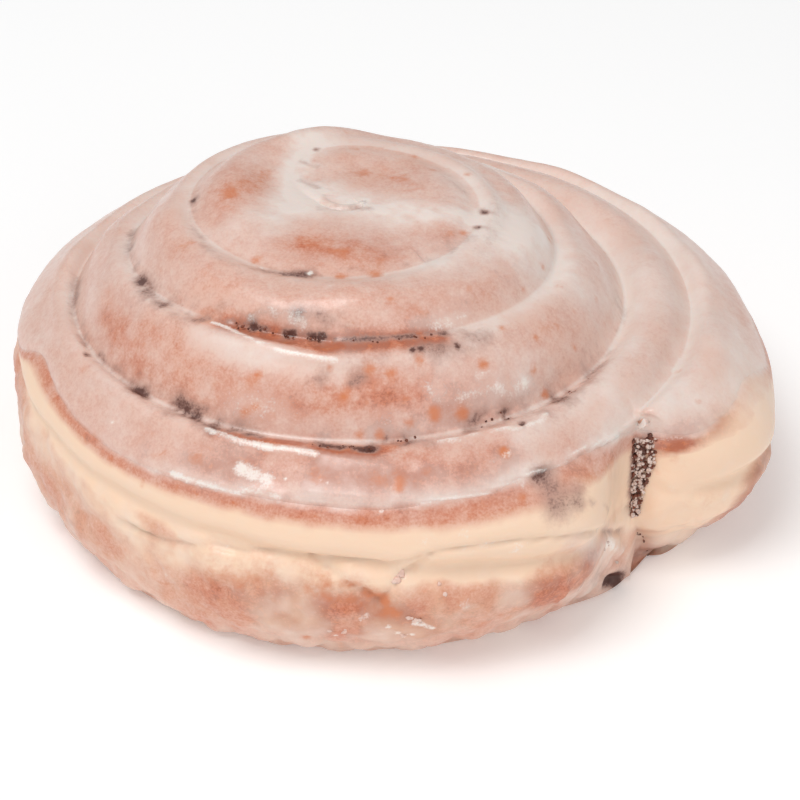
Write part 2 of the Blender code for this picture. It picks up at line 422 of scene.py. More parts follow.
    def edges(self, turn: Array) -> tuple[Array, Array, Array]:
        """The strip's edges, as distances from the eye.

        Args:
            turn: turns.

        Returns:
            The inner edge, the outer edge under the next coil, and the outside with the tail's round nose.
        """
        fused = self.seam.end - self.open_coils * FULL_TURN
        inner = self.seam.radius(np.maximum(turn, fused))
        covered = self.seam.radius(turn + FULL_TURN)
        nose = np.clip((turn - self.seam.end + self.nose) / self.nose, 0.0, 1.0)
        thin = inner + self.seam.half_gap + self.nose_thickness
        outside = thin + (self.outline(turn) - thin) * np.sqrt(1.0 - nose**2)
        return inner, covered, outside

    def inset(self, inner: Array, outside: Array) -> Array:
        """Inset of the shoulder, less where the strip is narrow."""
        return np.minimum(self.shoulder_inset, self.shoulder_widest * (outside - inner))

    def top(self, turn: Array, share: Array) -> Array:
        """The top of the strip.

        Height = groove line + crown*sin(pi*share^skew) - groove depth*(1 - quarter round) at both edges
        + lumps.

        Args:
            turn: turns, as a column.
            share: place across the strip, 0 at its inner seam and 1 at its outer seam or shoulder, as a row.

        Returns:
            A grid of points.
        """
        inner, covered, outside = self.edges(turn)
        free = self.free_side(turn)
        shoulder = outside - self.inset(inner, outside)
        width = covered + (shoulder - covered) * free - inner
        outer_height = self.dome(turn, covered) * (1.0 - free) + self.shoulder_top(turn, shoulder) * free
        inner_height = self.dome(turn, inner)
        gap = self.seam.half_gap / np.maximum(width, self.narrowest)
        height = inner_height + (outer_height - inner_height) * share
        crown = self.crown * np.minimum(width / self.seam.coil_thickness, 1.0)
        crown = crown * self.seam.past_eye(turn + self.crown_lag)
        skew = self.crown_skew - self.seam.past_eye(turn - self.crown_skew_lead)
        height = height + crown * np.sin(np.pi * share**skew)
        inner_drop = self.groove_depth * self.seam.opening(turn)
        outer_drop = self.groove_depth * self.seam.opening(turn + FULL_TURN) * (1.0 - free)
        height = height - inner_drop * (1.0 - edge_round((share - gap) / self.inner_round))
        height = height - outer_drop * (1.0 - edge_round((1.0 - share - gap) / self.outer_round))
        points = self.place(turn, inner + width * share, height)
        points[..., 2] += self.lump_size * np.sin(np.pi * share) * self.lumps(points)
        return points

    def shoulder_top(self, turn: Array, shoulder: Array) -> Array:
        """Height of the shoulder at each turn."""
        return self.shoulder_height - self.lean(turn, shoulder)

    def side(self, turn: Array, level: Array) -> Array:
        """The outer side of the strip: outline - inset - pinch at the tail + lumps.

        Args:
            turn: turns of the last coil, as a column.
            level: share of the height, 1 at the shoulder and 0 at the foot, as a row.

        Returns:
            A grid of points.
        """
        inner, covered, outside = self.edges(turn)
        free = self.free_side(turn)
        inset = self.inset(inner, outside)
        shoulder_height = self.shoulder_top(turn, outside - inset)
        opening = self.seam.opening(turn + FULL_TURN)
        top = self.dome(turn, covered) * (1.0 - free) + shoulder_height * free
        top = top - self.groove_depth * opening * (1.0 - free)
        bevel = self.foot_bevel * opening
        height = bevel + (top - bevel) * level
        radius = outside - self.side_inset(turn, height, shoulder_height) * inset / self.shoulder_inset
        pinch = self.tail_pinch * (1.0 - smoothstep((level - self.tail_open_level) / self.tail_pinch_over))
        radius = radius - pinch * bell(turn - self.seam.end, self.tail_pinch_reach)
        mixed = covered + (radius - covered) * free
        lump = self.lump_size * free * np.sin(np.pi * level)
        mixed = mixed + lump * self.lumps(self.place(turn, mixed, height))
        return self.place(turn - self.set_back(turn, level), mixed, height)

    def foot(self, turn: Array, share: Array) -> Array:
        """The underside of the strip, level with the floor, with its edges bevelled up into the seam.

        Args:
            turn: turns, as a column.
            share: place across the strip from its inner seam to its outer seam, as a row.

        Returns:
            A grid of points.
        """
        inner, covered, _ = self.edges(turn)
        free = self.free_side(turn)
        side = self.side(turn, np.zeros((1, 1)))
        edge = np.hypot(side[..., 0] - self.seam.eye_x, side[..., 1] - self.seam.eye_y)
        outer = np.where(free > 0.0, edge - self.foot_bevel * free, covered)
        width = np.maximum(outer - inner, 0.01)
        radius = inner + width * share
        from_inner = share * width / (2.0 * self.foot_bevel)
        inner_rise = self.seam.opening(turn) * np.clip(1.0 - from_inner, 0.0, 1.0)
        from_outer = (1.0 - share) * width / (2.0 * self.foot_bevel)
        outer_rise = self.seam.opening(turn + FULL_TURN) * (1.0 - free) * np.clip(1.0 - from_outer, 0.0, 1.0)
        return self.place(turn, radius, self.foot_bevel * np.maximum(inner_rise, outer_rise))


def grid_faces(numbers: Array) -> Array:
    """Four-sided faces between neighbouring rows and columns of a grid of numbers."""
    corners = [numbers[:-1, :-1], numbers[1:, :-1], numbers[1:, 1:], numbers[:-1, 1:]]
    return np.stack(corners, axis=-1).reshape(-1, 4)


@dataclass
class CoilSkin:
    """A skin that follows the spiral: coils over the top, the outer side, and coils again under the foot.

    The grid of one coil ends at the seam where the grid of the next begins, so their points there are shared.
    Inside the first turn the coil is fused to a small disc, and the tail is closed by a face against the coil
    inside it.
    """

    form: RollForm
    columns: int
    top_shares: Array
    side_levels: Array
    foot_shares: Array | None
    crowding: float = 0.4
    turns_round: int = 5
    core_rings: int = 3
    points: Array = field(init=False)
    quads: Array = field(init=False)
    triangles: Array = field(init=False)
    turn: Array = field(init=False)
    share: Array = field(init=False)
    level: Array = field(init=False)
    rim: Array = field(init=False)

    def __post_init__(self) -> None:
        """Numbers the points, places them and lists the faces."""
        n, last = self.columns, self.columns * self.turns_round
        step = np.arange(last + 1)
        part = (step % n) / n
        even = part - self.crowding * np.sin(2.0 * np.pi * part) / (2.0 * np.pi)
        turns = (self.form.seam.end + FULL_TURN * (even + step // n - self.turns_round))[:, None]
        self.count = 0
        self.blocks: list[tuple[Array, Array, Array, Array]] = []
        faces: list[Array] = []
        last_coil, levels = turns[last - n :], self.side_levels[None, :]
        outer = self.number(self.form.side(last_coil, levels), last_coil, 1.0, levels)
        top = self.strip(turns, self.top_shares, outer[:, 0], self.form.top, 1.0)
        outer[0, 0] = top[last, 0]
        top[last - n, -1] = top[last, 0]
        faces += [grid_faces(top), grid_faces(outer), self.core(top, turns, False)]
        tail = top[last]
        faces.append(self.fan(tail, outer[0, 0]))
        faces.append(grid_faces(np.stack([outer[n], outer[0]])))
        self.rim = outer[:, -1]
        if self.foot_shares is not None:
            foot = self.strip(turns, self.foot_shares, outer[:, -1], self.form.foot, 0.0)
            outer_edge = foot[last, 0]
            faces = [np.where(f == outer[0, -1], outer_edge, f) for f in faces]
            foot[last - n, -1] = outer_edge
            faces.append(grid_faces(foot)[:, ::-1])
            faces.append(self.fan(foot[last], outer_edge)[:, ::-1])
            faces.append(self.core(foot, turns, True))
        self.gather(faces)

    def number(self, points: Array, turn: Array, share: Array | float, level: Array | float) -> Array:
        """Adds a block of points.

        Args:
            points: the points, in any layout.
            turn: their turns.
            share: their places across the strip.
            level: their levels, 1 on top and 0 underneath.

        Returns:
            Their numbers, in the same layout.
        """
        shape = points.shape[:-1]
        size = int(np.prod(shape))
        flat = [np.broadcast_to(value, shape).reshape(-1) for value in (turn, share, level)]
        self.blocks.append((points.reshape(-1, 3), *flat))
        self.count += size
        return np.arange(self.count - size, self.count).reshape(shape)

    def strip(
        self, turns: Array, shares: Array, edge: Array, shape: Callable[[Array, Array], Array], level: float
    ) -> Array:
        """Numbers one strip of coils: its last row is the first row one full turn further, or the given edge.

        Args:
            turns: all the turns, as a column.
            shares: places across the strip, from 0 to just under 1.
            edge: numbers of the outer edge in the last turn.
            shape: function that places points from turns and shares.
            level: level of these points, 1 on top and 0 underneath.

        Returns:
            Numbers of the points, a row for each turn and a column for each share, 1 included.
        """
        n, last = self.columns, len(turns) - 1
        numbers = self.number(shape(turns, shares[None, :]), turns, shares[None, :], level)
        numbers[0, :] = numbers[n, 0]
        closing = np.concatenate([numbers[n:, 0], edge[1:]])
        numbers = np.column_stack([numbers, closing])
        numbers[0, :] = numbers[n, 0]
        return numbers[: last + 1]

    def fan(self, line: Array, middle: int) -> Array:
        """Faces from a line of points to one point."""
        hub = np.full(len(line) - 1, middle)
        return np.stack([line[:-1], hub, hub, line[1:]], axis=-1)

    def core(self, numbers: Array, turns: Array, under: bool) -> Array:
        """The small disc at the eye, in rings round one middle point: level * dome, so flat underneath.

        Args:
            numbers: numbers of the strip whose first row meets the disc.
            turns: all the turns.
            under: whether the disc faces down.

        Returns:
            The disc's faces.
        """
        n = self.columns
        level = 0.0 if under else 1.0
        start = self.form.seam.radius(turns[n, 0])
        around, eye = turns[:n], np.zeros((1, 1))
        radii = start * np.arange(1, self.core_rings)[None, :] / self.core_rings
        ring_points = self.form.place(around, radii, level * self.form.dome(around, radii))
        rings = self.number(ring_points, around, 0.5, level)
        middle = self.form.place(turns[:1], eye, level * self.form.dome(turns[:1], eye))
        hub = np.full(n, self.number(middle, turns[:1], 0.5, level)[0, 0])
        grid = np.column_stack([hub, rings, numbers[:n, 0]])
        faces = grid_faces(np.vstack([grid, grid[:1]]))
        return faces[:, ::-1] if under else faces

    def gather(self, faces: list[Array]) -> None:
        """Sorts the faces, drops empty ones and unused points, and keeps the arrays.

        Args:
            faces: blocks of faces with four corners, of which two may be the same point.
        """
        corners = np.concatenate(faces)
        same = corners == np.roll(corners, -1, axis=1)
        repeats = same.sum(axis=1)
        quads = corners[repeats == 0]
        folded = corners[repeats == 1]
        where = np.argmax(same[repeats == 1], axis=1)
        keep = (where[:, None] + np.arange(1, 4)[None, :]) % 4
        triangles = np.take_along_axis(folded, keep, axis=1)
        crossed = (triangles[:, 0] == triangles[:, 1]) | (triangles[:, 1] == triangles[:, 2])
        triangles = triangles[~(crossed | (triangles[:, 2] == triangles[:, 0]))]
        used = np.unique(np.concatenate([quads.reshape(-1), triangles.reshape(-1)]))
        renumber = np.full(self.count, -1)
        renumber[used] = np.arange(len(used))
        self.quads, self.triangles = renumber[quads], renumber[triangles]
        self.rim = renumber[self.rim]
        stacked = [np.concatenate([block[i] for block in self.blocks])[used] for i in range(4)]
        self.points, self.turn, self.share, self.level = stacked

    def ease_shoulder(self, reach: float = 3.2, rounds: int = 60) -> None:
        """Smooths the shoulder, where the top meets the side.

        Args:
            reach: distance from the shoulder over which the smoothing fades, in millimetres.
            rounds: number of rounds.
        """
        across = np.where(self.level >= 1.0, (1.0 - self.share) * self.form.seam.coil_thickness,
                          (1.0 - self.level) * self.form.shoulder_height)
        weight = self.form.free_side(self.turn) * bell(across, reach) * (self.level > 0.5)
        self.points = self.smoothed(self.points, weight, rounds)

    def smoothed(self, points: Array, weight: Array, rounds: int) -> Array:
        """Points after rounds that each move a point towards the middle of its neighbours.

        Args:
            points: the skin's points, as they are or raised.
            weight: twice the share of the way that each point moves in a round.
            rounds: number of rounds.

        Returns:
            The smoothed points.
        """
        faces = (self.quads, self.triangles)
        a = np.concatenate([corners.reshape(-1) for corners in faces])
        b = np.concatenate([np.roll(corners, -1, axis=1).reshape(-1) for corners in faces])
        near = weight[a] > 1e-3
        a, b = a[near], b[near]
        count = np.bincount(a, minlength=len(points))
        share = (0.5 * weight * (count > 0))[:, None]
        for _ in range(rounds):
            middle = np.stack([np.bincount(a, points[b, axis], len(points)) for axis in range(3)], axis=-1)
            points = points + share * (middle / np.maximum(count, 1)[:, None] - points)
        return points

    def normals(self, points: Array) -> Array:
        """Unit normals: the sum of the faces' area vectors round each point, over its length.

        Args:
            points: the skin's points, as they are or raised.

        Returns:
            A normal for each point.
        """
        total = np.zeros_like(points)
        for corners in (self.quads, self.triangles):
            a, b, c = points[corners[:, 0]], points[corners[:, 1]], points[corners[:, 2]]
            d = points[corners[:, -1]]
            way = np.cross(c - a, d - b) if corners.shape[1] == 4 else np.cross(b - a, c - a)
            for column in range(corners.shape[1]):
                np.add.at(total, corners[:, column], way)
        return total / np.maximum(np.linalg.norm(total, axis=1, keepdims=True), 1e-12)


def make_mesh(name: str, points: Array, quads: Array, triangles: Array) -> bpy.types.Object:
    """Makes a smooth-shaded mesh object from arrays, with its place in its mesh.

    Args:
        name: the piece's name.
        points: places in millimetres.
        quads: corners of its four-sided faces.
        triangles: corners of its three-sided faces.

    Returns:
        The linked object.
    """
    mesh = bpy.data.meshes.new(name)
    mesh.vertices.add(len(points))
    mesh.vertices.foreach_set("co", (points * MM).astype(np.float32).reshape(-1))
    corners = np.concatenate([quads.reshape(-1), triangles.reshape(-1)])
    sizes = np.concatenate([np.full(len(quads), 4), np.full(len(triangles), 3)])
    mesh.loops.add(len(corners))
    mesh.loops.foreach_set("vertex_index", corners.astype(np.int32))
    mesh.polygons.add(len(sizes))
    starts = np.concatenate([[0], np.cumsum(sizes)[:-1]])
    mesh.polygons.foreach_set("loop_start", starts.astype(np.int32))
    mesh.update(calc_edges=True)
    mesh.validate()
    mesh.shade_smooth()
    piece = bpy.data.objects.new(name, mesh)
    bpy.context.scene.collection.objects.link(piece)
    return piece


@dataclass(frozen=True)
class Lens:
    """The camera's geometry, which also says where a place on the roll is seen in the frame."""

    target: tuple[float, float, float] = (1.75, 4.1, 9.0)
    elevation: float = 36.35
    distance: float = 420.0
    length: float = 120.0
    sensor: float = 36.0
    frame_pixels: float = 800.0

    def back(self) -> Array:
        """Direction from the target to the camera."""
        tilt = np.radians(self.elevation)
        return np.array([0.0, -np.cos(tilt), np.sin(tilt)])

    def place(self) -> Array:
        """The camera's place in millimetres."""
        return np.array(self.target) + self.distance * self.back()

    def seen(self, points: Array) -> Array:
        """Frame place and depth of points: centre +- focal length in pixels * offset / depth.

        Args:
            points: places in millimetres.

        Returns:
            Pixels across, pixels down and the depth in millimetres, a row for each point.
        """
        tilt = np.radians(self.elevation)
        offset = points - self.place()
        depth = -(offset @ self.back())
        up = offset @ np.array([0.0, np.sin(tilt), np.cos(tilt)])
        focal = self.frame_pixels * self.length / self.sensor
        half = self.frame_pixels / 2.0
        return np.stack([half + focal * offset[:, 0] / depth, half - focal * up / depth, depth], axis=-1)


@dataclass
class Finder:
    """Finds the places on a skin that are seen at places in the frame."""

    lens: Lens
    points: Array
    normals: Array
    reach: float = 6.0
    past_nearest: float = 0.5
    front: float = 5.0
    closest: int = 4
    softness: float = 0.3
    spacing: float = 7.0

    def __post_init__(self) -> None:
        """Keeps the points that face the camera."""
        facing = ((self.lens.place() - self.points) * self.normals).sum(axis=1) > 0.0
        self.near = self.points[facing]
        self.near_normals = self.normals[facing]
        self.frame = self.lens.seen(self.near)

    def at(self, place: Place) -> Array:
        """The point on the skin that is seen at a place in the frame.

        Of the points seen within a few pixels it takes the front ones, and of those the mean of the closest,
        weighted by 1 / (gap + softness).

        Args:
            place: across and down in the frame.

        Returns:
            One point.
        """
        gap = np.hypot(self.frame[:, 0] - place[0], self.frame[:, 1] - place[1])
        close = gap < max(self.reach, gap.min() + self.past_nearest)
        depth = np.where(close, self.frame[:, 2], np.inf)
        first = close & (depth < depth.min() + self.front)
        best = np.argsort(np.where(first, gap, np.inf))[: self.closest]
        best = best[first[best]]
        weight = 1.0 / (gap[best] + self.softness)
        return (self.near[best] * weight[:, None]).sum(axis=0) / weight.sum()

    def path(self, places: Path) -> Array:
        """Points on the skin along a line in the frame, a few pixels apart.

        Args:
            places: the line's corners, or one place.

        Returns:
            The points, in order.
        """
        stops = np.array(places, float)
        if len(stops) == 1:
            return self.at(places[0])[None, :]
        length = np.concatenate([[0.0], np.cumsum(np.hypot(*np.diff(stops, axis=0).T))])
        count = max(2, int(length[-1] / self.spacing) + 1)
        along = np.linspace(0.0, length[-1], count)
        line = np.stack([np.interp(along, length, stops[:, axis]) for axis in (0, 1)], axis=-1)
        return np.array([self.at(tuple(place)) for place in line])


def distance_to(path: Array, points: Array) -> Array:
    """Distance from each point to a line.

    Args:
        path: the line's corners, or one point.
        points: places in millimetres.

    Returns:
        A distance for each point.
    """
    if len(path) == 1:
        return np.linalg.norm(points - path[0], axis=1)
    nearest = np.full(len(points), np.inf)
    for a, b in zip(path[:-1], path[1:]):
        step = b - a
        share = np.clip(((points - a) @ step) / max(step @ step, 1e-9), 0.0, 1.0)
        nearest = np.minimum(nearest, np.linalg.norm(points - a - share[:, None] * step, axis=1))
    return nearest


class Tint(Enum):
    """The layers that the finish mixes, each an attribute of the skin."""

    # Milky glaze, and in a few marks painted highlights and painted light
    MILK_AND_LIGHT = "milk"
    RUST = "rust"
    PALE = "pale"
    # Dark cinnamon stains, and painted shade in holes, a slit and the open groove
    SOOT_AND_SHADE = "soot_and_shade"
    SPOT = "spot"
    # White sugar and dried glaze, and painted highlights along the glaze's lips, crests and edge
    WHITE_AND_GLINT = "white"
    GLOSS = "gloss"
    HEIGHT = "height"


@dataclass(frozen=True)
class Mark:
    """A mark on the skin, through places that are seen in the 800 x 800 frame.

    Its width, and its amount where it is relief, are in millimetres on the skin, so it sits on the roll as
    seen from any side.
    """

    tint: Tint
    amount: float
    width: float
    ragged: float
    path: Path


def dots(amount: float, width: float, ragged: float, *places: Place) -> list[Row]:
    """Rows of a table for round marks of one kind, one at each place."""
    return [(amount, width, ragged, (place,)) for place in places]


# Paths that more than one mark follows
BEAD = ((421, 505), (440, 501), (483, 494), (512, 484), (536, 471), (565, 461), (584, 449), (618, 436))
BEAD_TOP = tuple((across, down - 1) for across, down in BEAD)
CREASE = ((119, 520), (150, 537), (172, 542), (192, 545), (212, 544), (234, 549), (273, 551), (304, 555),
    (348, 559), (383, 562), (414, 560), (436, 553), (483, 545), (536, 540), (570, 538), (589, 533),
    (623, 531))
THIRD_LIP = ((208, 429), (240, 440), (268, 447), (290, 449), (316, 453))
GREY_PATCH = ((547, 484), (552, 495), (556, 507))
DRIED_SPLASH = ((425, 603), (445, 600), (462, 602))

# Each table lists its marks under their tints, as rows of amount, width, raggedness and path
# Orange blisters over the whole top
ORANGE_SPOTS = {Tint.SPOT: (
    *dots(0.85, 1.15, 0.3, (256, 260), (341, 277), (375, 276), (421, 363), (370, 370), (391, 375),
        (484, 366)),
    *dots(0.75, 0.85, 0.3, (182, 246), (451, 234), (462, 232), (548, 239), (541, 266), (434, 170),
        (414, 156)),
    *dots(0.7, 0.8, 0.3, (356, 149), (468, 174), (391, 301), (502, 328), (260, 373), (536, 337), (574, 311)),
    *dots(0.75, 1.0, 0.3, (535, 372), (545, 394), (409, 421), (433, 414), (463, 411), (379, 435),
        (244, 411)),
    *dots(0.8, 0.9, 0.3, (346, 394), (505, 451), (306, 636), (523, 500), (256, 406), (398, 488), (360, 434)),
    *dots(0.6, 0.8, 0.3, (577, 350), (330, 368), (606, 324), (596, 299), (504, 452), (471, 290), (523, 288)),
    *dots(0.4, 1.6, 1.2, (435, 415), (540, 330), (460, 411), (250, 380), (555, 330), (345, 396)),
    *dots(0.45, 1.5, 1.2, (318, 477), (378, 480), (400, 478), (197, 458), (160, 452), (420, 306)),
    (0.5, 0.9, 0.6, ((106, 304), (113, 294))),
)}

# Stains, pools and glints round the eye and along the first groove
EYE_MARKS = {Tint.SOOT_AND_SHADE: (
    *dots(0.8, 0.7, 0.3, (195, 200), (317, 150), (477, 228), (485, 213)),
    (0.35, 1.0, 0.5, ((195, 196), (192, 221), (205, 247), (242, 273))),
    (0.7, 1.3, 0.8, ((253, 268), (285, 275), (324, 275))),
    (0.3, 2.0, 0.6, ((480, 250), (500, 215), (490, 190))),
    (0.25, 0.8, 0.8, ((340, 270), (391, 264), (447, 256), (477, 228))),
    (0.3, 0.8, 0.8, ((485, 213), (466, 195), (436, 168))),
    (0.6, 0.9, 0.5, ((302, 181), (317, 188))),
    (0.55, 1.0, 0.5, ((320, 209), (345, 208), (369, 210))),
    (0.45, 0.8, 0.5, ((302, 163), (318, 168))),
), Tint.MILK_AND_LIGHT: (
    (-0.4, 1.2, 0.8, ((253, 268), (285, 276), (310, 277))),
    (0.3, 5.0, 0.3, ((395, 226), (440, 262), (500, 240), (525, 225))),
    (0.2, 5.0, 0.3, ((455, 190), (490, 160))),
    (0.2, 6.0, 0.3, ((560, 255), (590, 285), (640, 300))),
    (0.6, 3.4, 0.5, ((309, 142), (300, 170), (285, 206))),
    (0.35, 5.0, 0.5, ((250, 218), (300, 212))),
    (0.55, 3.0, 0.5, ((315, 190), (345, 197), (390, 212), (460, 216))),
    (-0.25, 4.0, 0.5, ((310, 245), (380, 245), (440, 235))),
    (-0.25, 4.0, 0.5, ((225, 205), (259, 180))),
), Tint.RUST: (
    (0.15, 3.0, 0.9, ((232, 195), (259, 178))),
    (0.35, 1.8, 0.9, ((366, 173), (404, 182), (425, 192))),
    (0.25, 4.5, 0.8, ((310, 247), (370, 247))),
    (0.45, 2.8, 0.8, ((455, 232), (450, 248), (399, 256))),
), Tint.SPOT: (
    (0.48, 2.4, 1.4, ((222, 205), (240, 185), (259, 172))),
    (0.48, 2.4, 1.4, ((370, 172), (400, 182), (422, 190))),
    (0.42, 2.2, 1.4, ((310, 236), (345, 248), (380, 262))),
), Tint.WHITE_AND_GLINT: (
    *dots(0.8, 0.5, 0.3, (262, 268), (290, 279), (310, 273), (330, 285)),
)}

# The open groove in front of the eye: its floor dark with cinnamon and with painted shadow under the coil
# above, and its lip white glaze with a painted highlight
SECOND_GROOVE = {Tint.SOOT_AND_SHADE: (
    (0.45, 1.2, 0.8, ((132, 232), (131, 256), (142, 283), (162, 308), (200, 321))),
    (0.3, 3.2, 0.5, ((142, 295), (165, 310), (190, 316))),
    (0.28, 2.2, 0.8, ((230, 305), (260, 310), (300, 314))),
    (0.25, 1.6, 0.8, ((225, 313), (255, 316), (290, 320))),
    (0.4, 2.4, 0.5, ((350, 352), (400, 352), (440, 347), (478, 337))),
    *dots(0.6, 1.0, 0.8, (142, 283), (162, 308)),
    # Dark along the gap: cinnamon specks and painted shadow under the coil above
    (0.3, 0.8, 0.7, ((205, 319), (225, 323), (250, 328), (290, 333), (325, 337))),
    *dots(1.1, 0.7, 0.3, (252, 328), (263, 329), (284, 333), (292, 334), (312, 336), (322, 337)),
    (0.52, 0.5, 1.2, ((335, 340), (390, 338), (445, 333))),
    (0.5, 1.2, 1.0, ((300, 314), (320, 316), (346, 320))),
    *dots(0.4, 1.2, 1.2, (310, 376), (316, 385), (325, 375), (352, 382), (364, 378)),
    (0.2, 3.4, 0.6, ((300, 378), (325, 388), (345, 390))),
    *dots(0.9, 0.4, 0.3, (412, 351), (421, 349), (457, 345)),
    (0.2, 2.4, 0.6, ((430, 352), (462, 349), (485, 338))),
), Tint.MILK_AND_LIGHT: (
    (-0.9, 1.5, 0.2, ((205, 319), (250, 331), (286, 339), (319, 346), (337, 346), (390, 344), (440, 338))),
    (0.35, 2.4, 0.1, ((200, 337), (250, 352), (300, 360), (340, 364))),
    (0.2, 1.6, 0.1, ((352, 360), (400, 358), (445, 353), (475, 338), (499, 321))),
    (-0.15, 5.0, 0.6, ((150, 330), (250, 395), (330, 400))),
), Tint.HEIGHT: (
    (-1.3, 0.8, 0.15, ((236, 327), (252, 331), (272, 335), (295, 339), (318, 343), (330, 344))),
    (0.9, 0.6, 0.2, ((212, 323), (223, 327), (250, 338), (265, 345), (292, 352), (319, 357), (337, 358))),
), Tint.SPOT: (
    (0.4, 0.9, 0.8, ((286, 341), (319, 347), (340, 348))),
), Tint.RUST: (
    (1.3, 1.5, 0.3, ((222, 327), (250, 333), (286, 340), (319, 346), (350, 345))),
    (1.0, 1.8, 0.6, ((337, 345), (390, 343), (440, 338))),
    (-0.4, 2.6, 0.1, ((200, 337), (250, 352), (300, 362), (340, 366))),
), Tint.WHITE_AND_GLINT: (
    (0.4, 2.0, 1.0, ((246, 312), (270, 316), (300, 320))),
    (0.45, 1.2, 0.8, ((435, 325), (452, 321), (470, 315))),
    # The lip: white glaze edge with a painted highlight
    (1.0, 0.4, 0.2, ((212, 323), (223, 327), (250, 339), (265, 346), (292, 353), (319, 358), (337, 359))),
)}

# The next groove outwards, from the left side round to the tail
THIRD_GROOVE = {Tint.SOOT_AND_SHADE: (
    (0.45, 1.5, 0.8, ((80, 275), (75, 300), (80, 330), (88, 345))),
    # A small hole: painted shade in its dent
    (1.3, 0.6, 0.0, ((87, 354),)),
    (0.55, 0.9, 0.5, ((92, 350), (126, 380), (140, 392))),
    (0.45, 2.0, 1.0, ((135, 388), (159, 401), (190, 416), (215, 426))),
    (0.55, 0.8, 0.8, ((214, 429), (236, 432), (259, 437))),
    (0.9, 0.8, 1.2, ((313, 443), (340, 446), (370, 448))),
    (0.65, 1.2, 1.0, ((372, 446), (388, 443), (403, 444))),
    (0.38, 1.6, 1.2, ((394, 440), (415, 441), (430, 442))),
    (0.42, 2.0, 1.2, ((470, 426), (487, 422), (505, 414))),
    (0.25, 1.5, 0.8, ((440, 440), (460, 438), (476, 430))),
    # A small hole: painted shade in its dent
    (1.3, 0.6, 0.0, ((522, 424),)),
    (0.4, 1.8, 1.2, ((560, 401), (572, 393), (582, 385), (590, 377))),
    (0.26, 4.0, 0.5, ((545, 406), (580, 388), (598, 366))),
    (0.38, 3.2, 0.6, ((190, 413), (220, 426), (240, 432))),
    (0.22, 3.2, 0.6, ((480, 426), (520, 424), (545, 412))),
    *dots(0.45, 1.2, 1.0, (482, 421), (503, 413), (573, 388), (557, 398)),
    (0.22, 3.0, 0.6, ((150, 388), (172, 398))),
    (0.22, 1.8, 0.9, ((594, 370), (610, 345), (620, 315), (618, 290))),
), Tint.HEIGHT: (
    (-0.9, 0.5, 0.0, ((87, 355),)),
    (-0.3, 0.6, 0.5, ((92, 352), (126, 382), (159, 402), (208, 425), (230, 435))),
    (0.3, 0.6, 0.4, THIRD_LIP),
    (-0.4, 0.7, 0.5, ((313, 445), (340, 448), (370, 450), (400, 448))),
    (-0.5, 0.4, 0.0, ((522, 424),)),
    (0.35, 0.6, 0.5, ((440, 442), (460, 440), (480, 434), (522, 428), (536, 424), (546, 417))),
), Tint.MILK_AND_LIGHT: (
    (-0.7, 0.9, 0.3, ((214, 430), (236, 434), (259, 439), (298, 443))),
    (-0.8, 1.1, 0.3, ((313, 444), (340, 447), (370, 449), (400, 443))),
    (0.18, 2.4, 0.4, ((330, 428), (400, 428))),
    (0.3, 2.0, 0.1, ((520, 436), (560, 415), (600, 385), (630, 340))),
), Tint.WHITE_AND_GLINT: (
    # The groove's lips: white glaze with painted highlights
    (0.9, 0.6, 0.4, THIRD_LIP),
    (0.75, 0.7, 0.5, ((440, 442), (460, 440), (480, 434), (500, 430), (522, 428), (536, 424), (546, 417))),
), Tint.RUST: (
    (1.0, 0.9, 0.8, ((214, 430), (236, 434), (259, 439))),
    (1.0, 0.9, 0.5, ((280, 440), (298, 443))),
    (0.9, 1.8, 0.6, ((313, 444), (340, 447), (370, 449))),
    (0.6, 1.6, 0.8, ((372, 434), (385, 434), (400, 438), (420, 440))),
    (0.5, 3.0, 0.8, ((465, 418), (487, 413), (510, 404))),
    *dots(1.2, 0.9, 0.3, (546, 413), (556, 408)),
)}

# The coil between those two grooves, dried and crackled on its crest
RIDGE_MARKS = {Tint.WHITE_AND_GLINT: (
    (0.3, 2.6, 1.3, ((222, 392), (250, 402), (280, 412))),
    (0.55, 1.2, 1.0, ((462, 398), (482, 390), (500, 388), (523, 382))),
    (0.4, 1.6, 0.9, ((427, 388), (442, 396))),
    (0.4, 1.6, 0.9, ((384, 414), (396, 422))),
    (0.5, 0.8, 0.5, ((478, 374), (490, 370))),
), Tint.RUST: (
    (0.3, 4.5, 0.9, ((320, 395), (370, 400), (420, 400), (460, 395))),
    (0.35, 3.0, 0.9, ((400, 425), (470, 410), (540, 380))),
    (0.2, 3.0, 1.0, ((100, 320), (125, 365), (200, 405), (280, 425))),
    (0.3, 2.2, 1.0, ((420, 320), (460, 305), (500, 285), (535, 250))),
    (0.2, 2.5, 1.0, ((530, 340), (565, 310), (600, 260))),
), Tint.MILK_AND_LIGHT: (
    (-0.22, 4.5, 0.8, ((330, 400), (400, 400), (460, 390))),
    (-0.2, 3.0, 0.8, ((105, 320), (140, 375), (210, 405))),
    (0.3, 5.0, 0.3, ((520, 230), (500, 205), (540, 270))),
    (0.22, 4.0, 0.6, ((450, 385), (490, 380), (530, 370))),
)}

